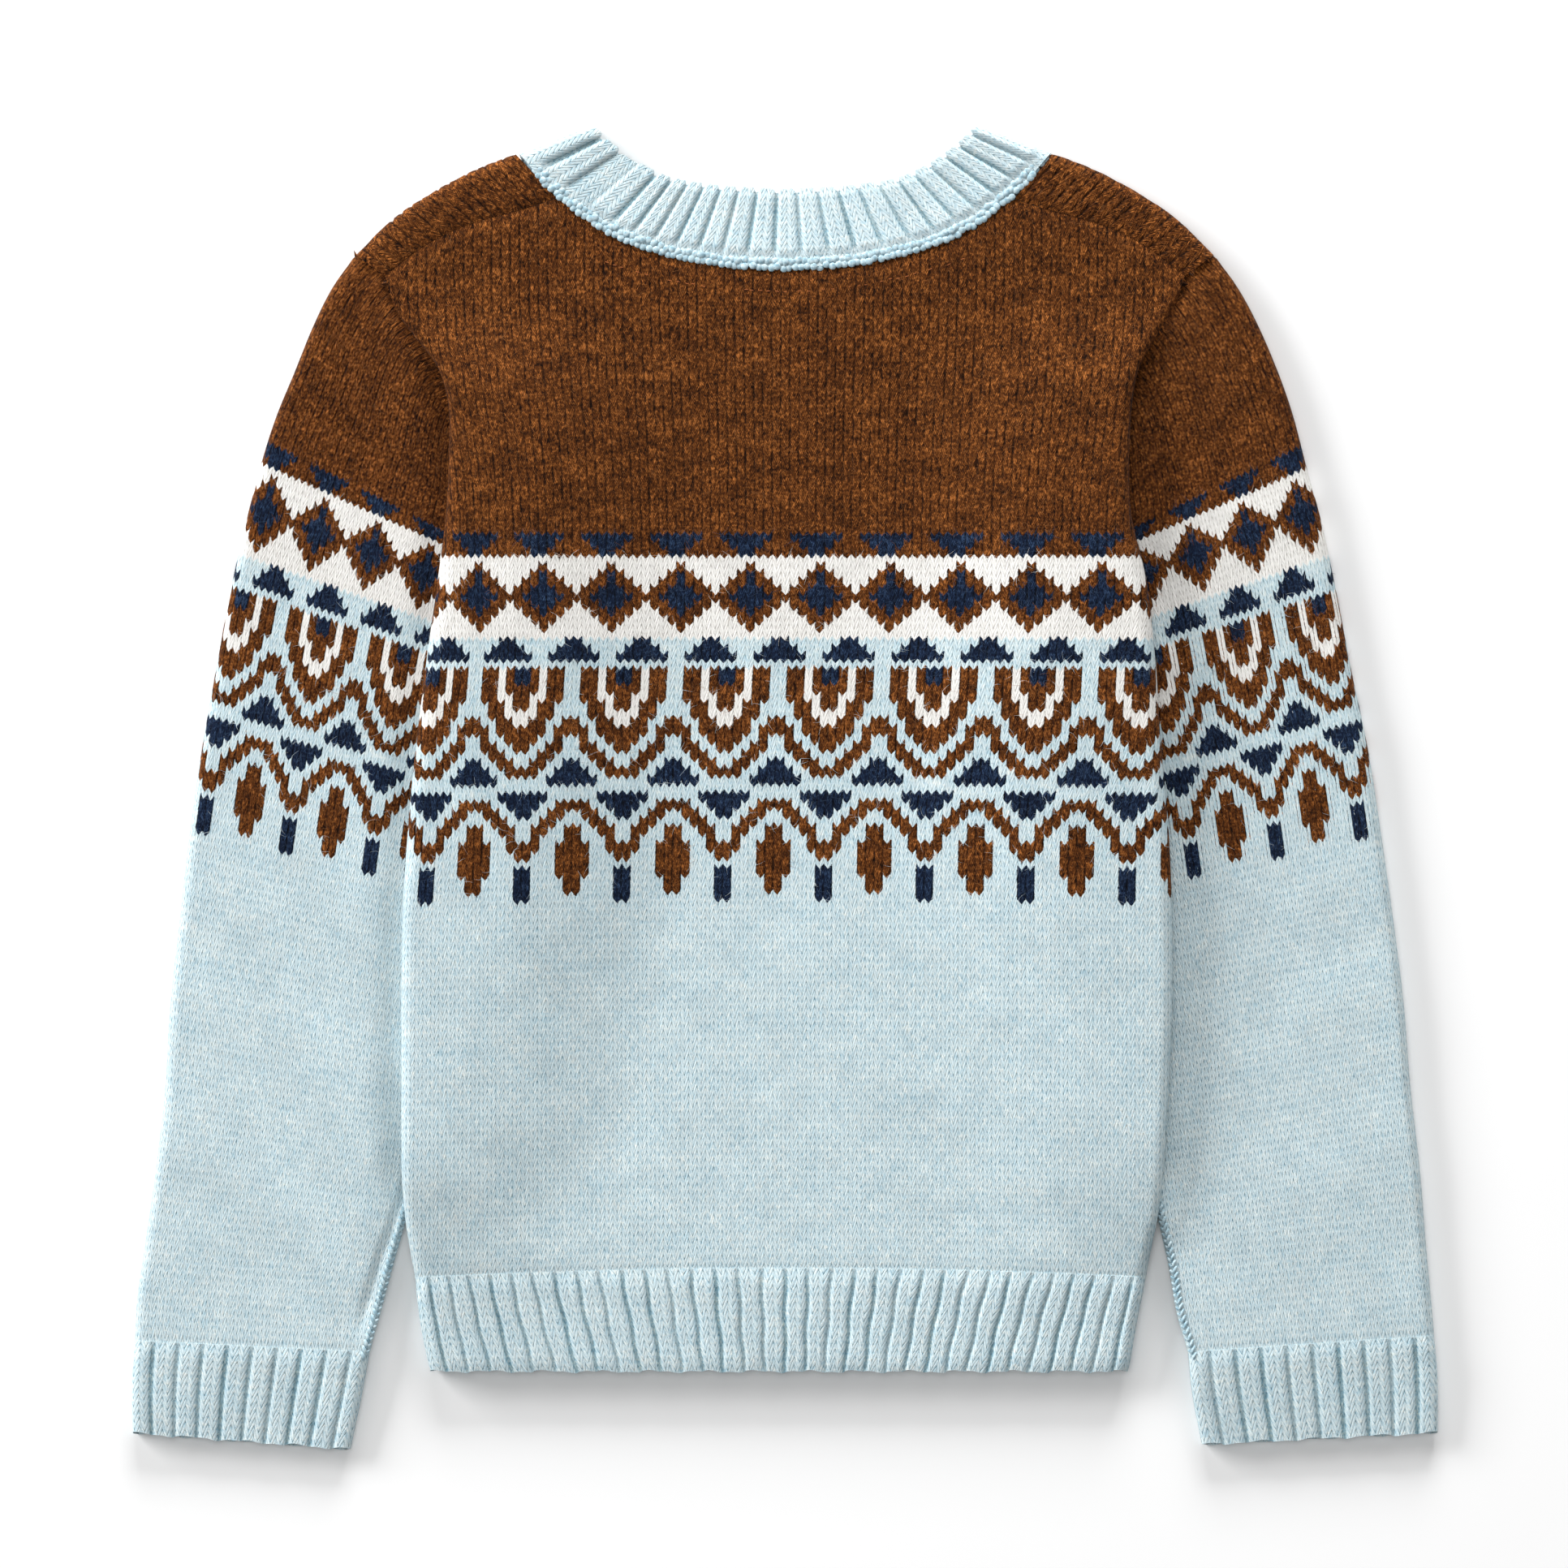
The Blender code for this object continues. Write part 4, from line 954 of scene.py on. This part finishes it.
def makeFibres():
    chance = np.random.default_rng(11)
    roots, rights, uppers, yarns, weights = [], [], [], [], []
    for points, yarn in skins:
        corner = points[:-1, :-1]
        right, upper = points[:-1, 1:] - corner, points[1:, :-1] - corner
        face = np.cross(right, upper)
        area = np.linalg.norm(face, axis=-1)
        around = np.pad(yarn, 1, mode="edge")
        meets = ((around[1:-1, :-2] != yarn) | (around[1:-1, 2:] != yarn)
                 | (around[:-2, 1:-1] != yarn) | (around[2:, 1:-1] != yarn))
        seen, dark = face[..., 2] > -0.3 * area, yarn < charts["yarns"]["W"]
        weights.append((area * seen * (1 + 5 * meets + dark)).ravel())
        roots.append(corner.reshape(-1, 3))
        rights.append(right.reshape(-1, 3))
        uppers.append(upper.reshape(-1, 3))
        yarns.append(yarn.ravel())
    weights = np.concatenate(weights)
    picked = chance.choice(len(weights), fibres["count"], p=weights / weights.sum())
    root, right, upper = [np.concatenate(part)[picked] for part in (roots, rights, uppers)]
    yarn = np.concatenate(yarns)[picked]
    outward = np.cross(right, upper)
    outward /= np.linalg.norm(outward, axis=1, keepdims=True)
    size = (len(picked), 1)
    root = root + right * chance.random(size) + upper * chance.random(size)
    ahead = upper / np.linalg.norm(upper, axis=1, keepdims=True)
    aside = np.cross(ahead, outward)
    angle = chance.normal(0, 0.9, size) + math.pi * (chance.random(size) < 0.5)
    way = ahead * np.cos(angle) + aside * np.sin(angle)
    across = np.cross(way, outward)
    length = chance.uniform(*fibres["length"], size)
    bend = chance.normal(0, 0.35, size)
    lift = chance.uniform(0.02, 0.22, size)
    rails = []
    for share in (0.0, 0.33, 0.67, 1.0):
        curl = across * bend * share**2 + outward * lift * math.sin(share * 2.6)
        middle = root + length * (way * share + curl) + outward * 0.06
        half = across * fibres["width"] / 2 * (1 - 0.7 * share)
        rails += [middle - half, middle + half]
    rails = np.stack(rails, axis=1)
    rails[..., 2] = np.maximum(rails[..., 2], 0.1)
    first = np.arange(len(picked))[:, None, None] * 8
    quads = (first + np.array([[0, 1, 3, 2], [2, 3, 5, 4], [4, 5, 7, 6]])[None]).reshape(-1, 4)
    mesh = meshOf("woolFibres", rails, quads)
    addValues(mesh, "yarn", "FACE", np.repeat((yarn + 0.5) / 4, 3))
    piece = bpy.data.objects.new("woolFibres", mesh)
    bpy.context.scene.collection.objects.link(piece)
    # loose wool: single hairs that soften every edge and outline
    mesh.materials.append(plainMaterial("looseWoolFibre", fibres["colours"], 0.8, 0.2))
    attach(piece, "root")
    print("made woolFibres", len(quads), "faces")


makeFibres()


# ---- sewing: running stitches below the neck, two knobbly rows along its seam, and the ridge of
# each underarm seam
sewing = {
    # each row of knobs: how far up, z, and shift in pitches; near the ends they drop with the band
    "knobs": {"pitch": 2.5, "size": (3.3, 3.1, 1.2), "rows": ((0.2, 7.95, 0.0), (2.4, 7.85, 0.5)),
              "until": 0.97, "drop": 3.2},
    # a bow: its lowest point, half its breadth and its rise; some dashes are hidden
    "tack": {"from": -76.0, "to": 73.0, "middle": (-2.0, 201.6), "half": 71.0, "rise": 12.0,
             "shown": 0.8, "pitch": 3.3, "size": (1.9, 0.34, 0.34), "colour": "#a8623a"},
    # two strands that cross the seam: how far in, apart, turned (also apart along it), and z
    "underarm": {"from": -168.0, "to": -233.0, "pitch": 2.5, "size": (3.6, 1.5, 1.4),
                 "in": 1.7, "apart": 0.7, "turn": 0.6, "level": 7.1, "step": 0.35, "droop": 1.5},
    "yarn": ("#8fb0be", "#c6d9df"),
}


def makeStitches(name, material, size, places):
    # places: x, y, z and turn of each stitch; one is modelled and the others are its copies
    bpy.ops.mesh.primitive_uv_sphere_add(segments=8, ring_count=6, radius=0.5 * mm)
    first = bpy.context.object
    first.scale = size
    bpy.ops.object.transform_apply(location=False, rotation=False, scale=True)
    first.data.materials.append(material)
    bpy.ops.object.shade_smooth()
    stitches = [first]
    for _ in places[1:]:
        copy = first.copy()
        copy.data = first.data.copy()
        bpy.context.scene.collection.objects.link(copy)
        stitches.append(copy)
    bpy.ops.object.select_all(action="DESELECT")
    for stitch, (x, y, z, turn) in zip(stitches, places):
        stitch.location = (x * mm, y * mm, z * mm)
        stitch.rotation_euler = (0, 0, turn)
        stitch.select_set(True)
    bpy.context.view_layer.objects.active = first
    bpy.ops.object.join()
    bpy.ops.object.transform_apply(location=True, rotation=True, scale=True)
    first.select_set(False)
    first.name = name
    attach(first, "root")
    print("made", name, len(places), "stitches")


chance = np.random.default_rng(5)
# tacking wool: one rust-coloured ply, seen as short dull dashes
tacking = plainMaterial("looseTackingYarn", [sewing["tack"]["colour"]], 0.9, 0.1)
plan = sewing["tack"]
places = []
for x in np.arange(plan["from"], plan["to"], plan["pitch"]):
    share = (x - plan["middle"][0]) / plan["half"]
    y = plan["middle"][1] + plan["rise"] * share**2 + chance.normal(0, 0.2)
    if chance.random() < plan["shown"]:
        turn = math.atan(2 * plan["rise"] * share / plan["half"])
        places.append((x + chance.normal(0, 0.4), y, cloth["bodyHeight"], turn + chance.normal(0, 0.15)))
makeStitches("runningStitch", tacking, plan["size"], places)

# plied Shetland wool of the body's light blue: plump, dull single bumps in two shades
seamYarn = plainMaterial("lightBlueSeamYarn", sewing["yarn"], 0.9, 0.1)
plan = sewing["knobs"]
neckLine, seamLength = along(neckBackSeam), np.hypot(*np.diff(np.array(neckBackSeam), axis=0).T).sum()
places = []
for up, z, shift in plan["rows"]:
    for k in range(round(2 * seamLength / plan["pitch"])):
        share = (k + shift) * plan["pitch"] / seamLength - 1
        if abs(share) < plan["until"]:
            x, y = neckLine(abs(share))
            nextX, nextY = neckLine(min(abs(share) + 0.01, 1.0))
            turn = math.atan2(nextY - y, nextX - x)
            side = math.copysign(1.0, share)
            x, y = x - up * math.sin(turn), y + up * math.cos(turn)
            drop = plan["drop"] * smooth((abs(share) - 0.9) / 0.1)
            x, y = side * x + chance.normal(0, 0.28), y + chance.normal(0, 0.3)
            places.append((x, y, z - drop + chance.normal(0, 0.2), side * turn + chance.normal(0, 0.6)))
makeStitches("neckSeamKnobs", seamYarn, plan["size"], places)

plan = sewing["underarm"]
for which in ("left", "right"):
    side = sleeves[which]["side"]
    edge = np.array([row[2:4] for row in (*sleeves[which]["rows"], *sleeves[which]["cuff"][1:])])
    edgeX = softLine(-edge[:, 1], edge[:, 0])
    places = []
    for y in np.arange(plan["from"], plan["to"], -plan["pitch"]):
        lean = math.atan2(edgeX(1 - y) - edgeX(-y), 1.0)
        for strand in (-1, 1):
            x = edgeX(-y) + plan["in"] - strand * plan["apart"]
            turn = side * (lean + strand * plan["turn"]) - math.pi / 2
            droop = plan["droop"] * seamDroop(y) if side < 0 else 0
            level = plan["level"] - strand * plan["step"] - droop
            places.append((side * x, y + strand * plan["turn"], level, turn))
    makeStitches("underarmSeam" + which.capitalize(), seamYarn, plan["size"], places)


# ---- floor, light and camera
stage = {"floor": "#fcfcfc", "span": 6.0}
bpy.ops.mesh.primitive_plane_add(size=stage["span"], location=(0, 0, 0))
floor = bpy.context.object
floor.name = "paperFloor"
# smooth uncoated paper: even and without gloss
floor.data.materials.append(plainMaterial("matteWhitePaper", [stage["floor"]], 1.0, 0.0))

lights = {
    # soft boxes: place, breadth, height, power
    "left": ((-4.6, 2.5, 1.65), 3.0, 1.6, 350.0),
    "top": ((0.4, 5.2, 1.38), 3.2, 1.4, 370.0),
    "overhead": ((-0.4, 0.4, 6.0), 3.5, 3.5, 106.0),
    "ambient": 0.20,
}
world = bpy.data.worlds.new("studio")
bpy.context.scene.world = world
world.use_nodes = True
world.node_tree.nodes["Background"].inputs["Color"].default_value = linear("#ffffff")
world.node_tree.nodes["Background"].inputs["Strength"].default_value = lights["ambient"]
for name in ("left", "top", "overhead"):
    place, breadth, height, power = lights[name]
    bpy.ops.object.light_add(type="AREA", location=place)
    box = bpy.context.object
    box.name = name + "SoftBox"
    box.data.shape = "RECTANGLE"
    box.data.size, box.data.size_y = breadth, height
    box.data.energy = power
    box.rotation_euler = (-box.location).to_track_quat("-Z", "Y").to_euler()

# in metres; width: what the view spans at the top of the cloth
camera = {"height": 4.0, "width": 0.63756, "middle": (-0.00033, 0.00132)}
bpy.ops.object.camera_add(location=(*camera["middle"], camera["height"]))
eye = bpy.context.object
eye.data.sensor_width = 36.0
eye.data.lens = eye.data.sensor_width * (camera["height"] - cloth["bodyHeight"] * mm) / camera["width"]
eye.data.clip_end = 20.0
bpy.context.scene.camera = eye
bpy.context.scene.view_settings.view_transform = "Standard"
print("stage set")
